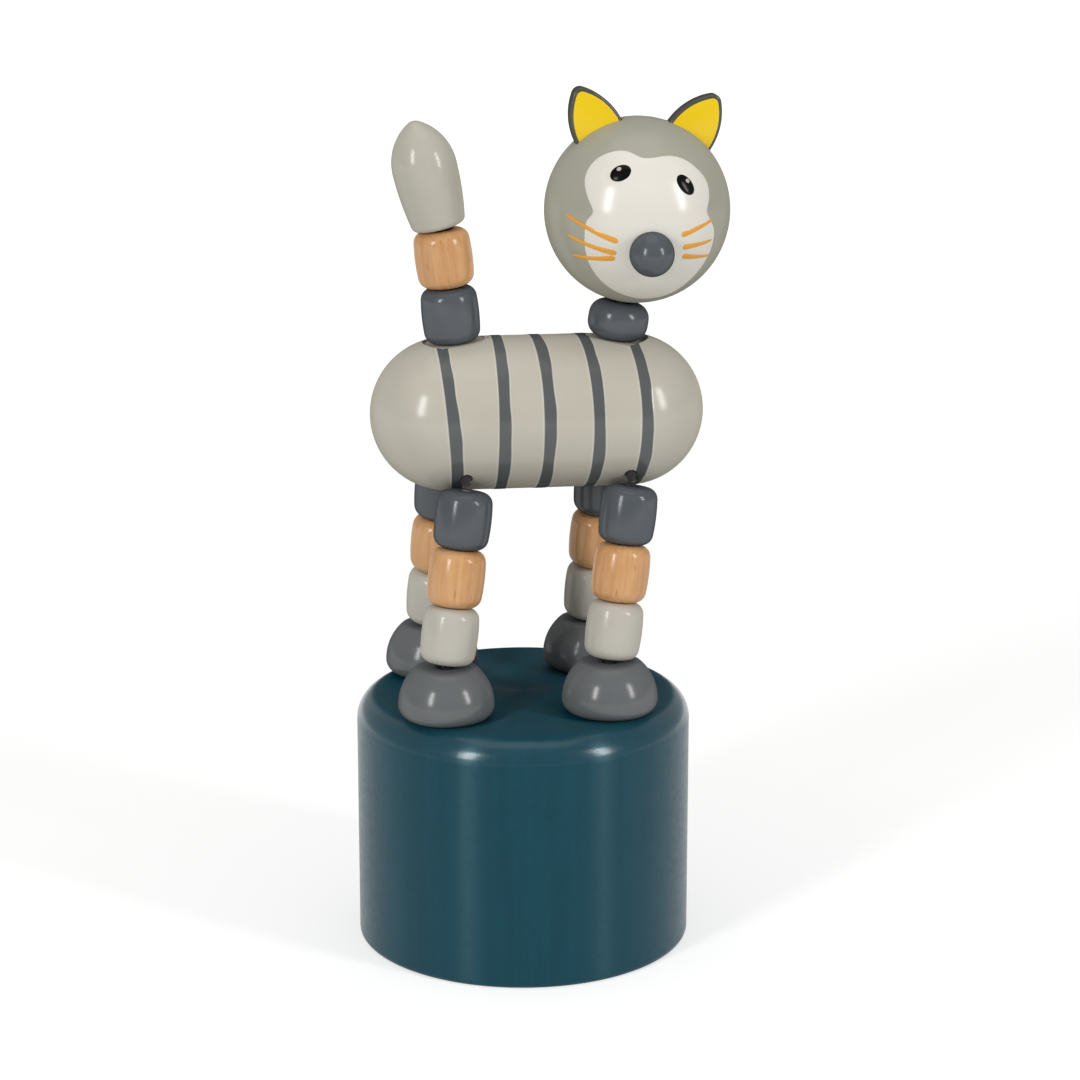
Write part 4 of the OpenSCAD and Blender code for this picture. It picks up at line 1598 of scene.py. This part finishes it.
# Countersink and depth of the hole in the tail's tip
TIP_SINK = 0.2 * MM
TIP_DEPTH = 8.3 * MM


class PUPPET_OT_neck(bpy.types.Operator):
    """Turns the neck bead"""

    bl_idname = "puppet.neck"
    bl_label = "Neck bead"

    def execute(self, context):
        s = sizes()
        turn_bead(
            "neck_bead", s.neck_d, s.neck_h, s.neck_edge, s.neck_bulge, s.pair_bore, column(s.head_lean),
            lacquer("dark_lacquer", colours().dark), FIRST_SHIFT["neck"],
        )
        return {"FINISHED"}


def tip_outline(s):
    """Closed half outline of the drop-shaped tail tip."""
    hole = s.pair_bore / 2
    nose_z = s.tip_h - s.tip_nose
    rise = nose_z - s.tip_waist
    brow = ((s.tip_d / 2) ** 2 + rise ** 2 - s.tip_nose ** 2) / (s.tip_d - 2 * s.tip_nose)
    brow_turn = math.degrees(math.asin(rise / (brow - s.tip_nose)))
    side_mid = s.tip_d / 2 - s.tip_side
    flat = side_mid + math.sqrt((s.tip_side - s.tip_edge) ** 2 - (s.tip_waist - s.tip_edge) ** 2)
    side_turn = math.degrees(math.asin((s.tip_waist - s.tip_edge) / (s.tip_side - s.tip_edge)))
    return outline_of(
        straight((0.0, TIP_DEPTH), (hole, TIP_DEPTH), 3),
        straight((hole, TIP_DEPTH), (hole, TIP_SINK), 8),
        straight((hole, TIP_SINK), (hole + TIP_SINK, 0), 2),
        straight((hole + TIP_SINK, 0), (flat, 0), 3),
        arc((flat, s.tip_edge), s.tip_edge, -90, -side_turn, 10),
        arc((side_mid, s.tip_waist), s.tip_side, -side_turn, 0, 14),
        arc((s.tip_d / 2 - brow, s.tip_waist), brow, 0, brow_turn, 20),
        arc((0.0, nose_z), s.tip_nose, brow_turn, 90, 12),
    )


class PUPPET_OT_tail(bpy.types.Operator):
    """Turns the three pieces of the tail"""

    bl_idname = "puppet.tail"
    bl_label = "Tail"

    def execute(self, context):
        s, c = sizes(), colours()
        beads = (
            ("tail_lower", s.tail_lower_h, s.tail_lower_lean, lacquer("dark_lacquer", c.dark)),
            ("tail_middle", s.tail_middle_h, s.tail_middle_lean, clear_wood("clear_beech")),
        )
        for shift, (node, height, lean, finish) in enumerate(beads, FIRST_SHIFT["tail"]):
            turn_bead(
                node, s.tail_d, height, s.bead_edge, s.bead_bulge, s.pair_bore, column(-lean), finish, shift
            )
        axis = column(-s.tail_tip_lean)
        solid = frame["nodes"]["tail_tip"].data
        top = max(solid.vertices, key=lambda vertex: vertex.co.dot(axis)).co
        finish = lacquer("tail_lacquer", c.tip)
        tip = lathe(
            "turned_tail_tip", tip_outline(s), top - axis * s.tip_h, axis, finish, FIRST_SHIFT["tip"],
            FINE_SEGMENTS,
        )
        hand_over(tip, "tail_tip")
        return {"FINISHED"}


# Panel and registration

OPERATORS = (
    PUPPET_OT_camera, PUPPET_OT_cords, PUPPET_OT_spring, PUPPET_OT_drum, PUPPET_OT_feet, PUPPET_OT_legs,
    PUPPET_OT_body, PUPPET_OT_neck, PUPPET_OT_head, PUPPET_OT_face, PUPPET_OT_tail, PUPPET_OT_stage,
)


class PUPPET_PT_panel(bpy.types.Panel):
    """Lists the steps that dress the puppet"""

    bl_idname = "PUPPET_PT_panel"
    bl_label = "Push puppet"
    bl_space_type = "VIEW_3D"
    bl_region_type = "UI"
    bl_category = "Puppet"

    def draw(self, context):
        for operator in OPERATORS:
            self.layout.operator(operator.bl_idname)


CLASSES = (PuppetSizes, PuppetColours, *OPERATORS, PUPPET_PT_panel)


def register():
    for cls in CLASSES:
        bpy.utils.register_class(cls)
    bpy.types.Scene.puppet_sizes = PointerProperty(type=PuppetSizes)
    bpy.types.Scene.puppet_colours = PointerProperty(type=PuppetColours)


def unregister():
    del bpy.types.Scene.puppet_colours
    del bpy.types.Scene.puppet_sizes
    for cls in reversed(CLASSES):
        bpy.utils.unregister_class(cls)


def main():
    register()
    for operator in OPERATORS:
        group, name = operator.bl_idname.split(".")
        getattr(getattr(bpy.ops, group), name)()


if __name__ == "__main__":
    main()
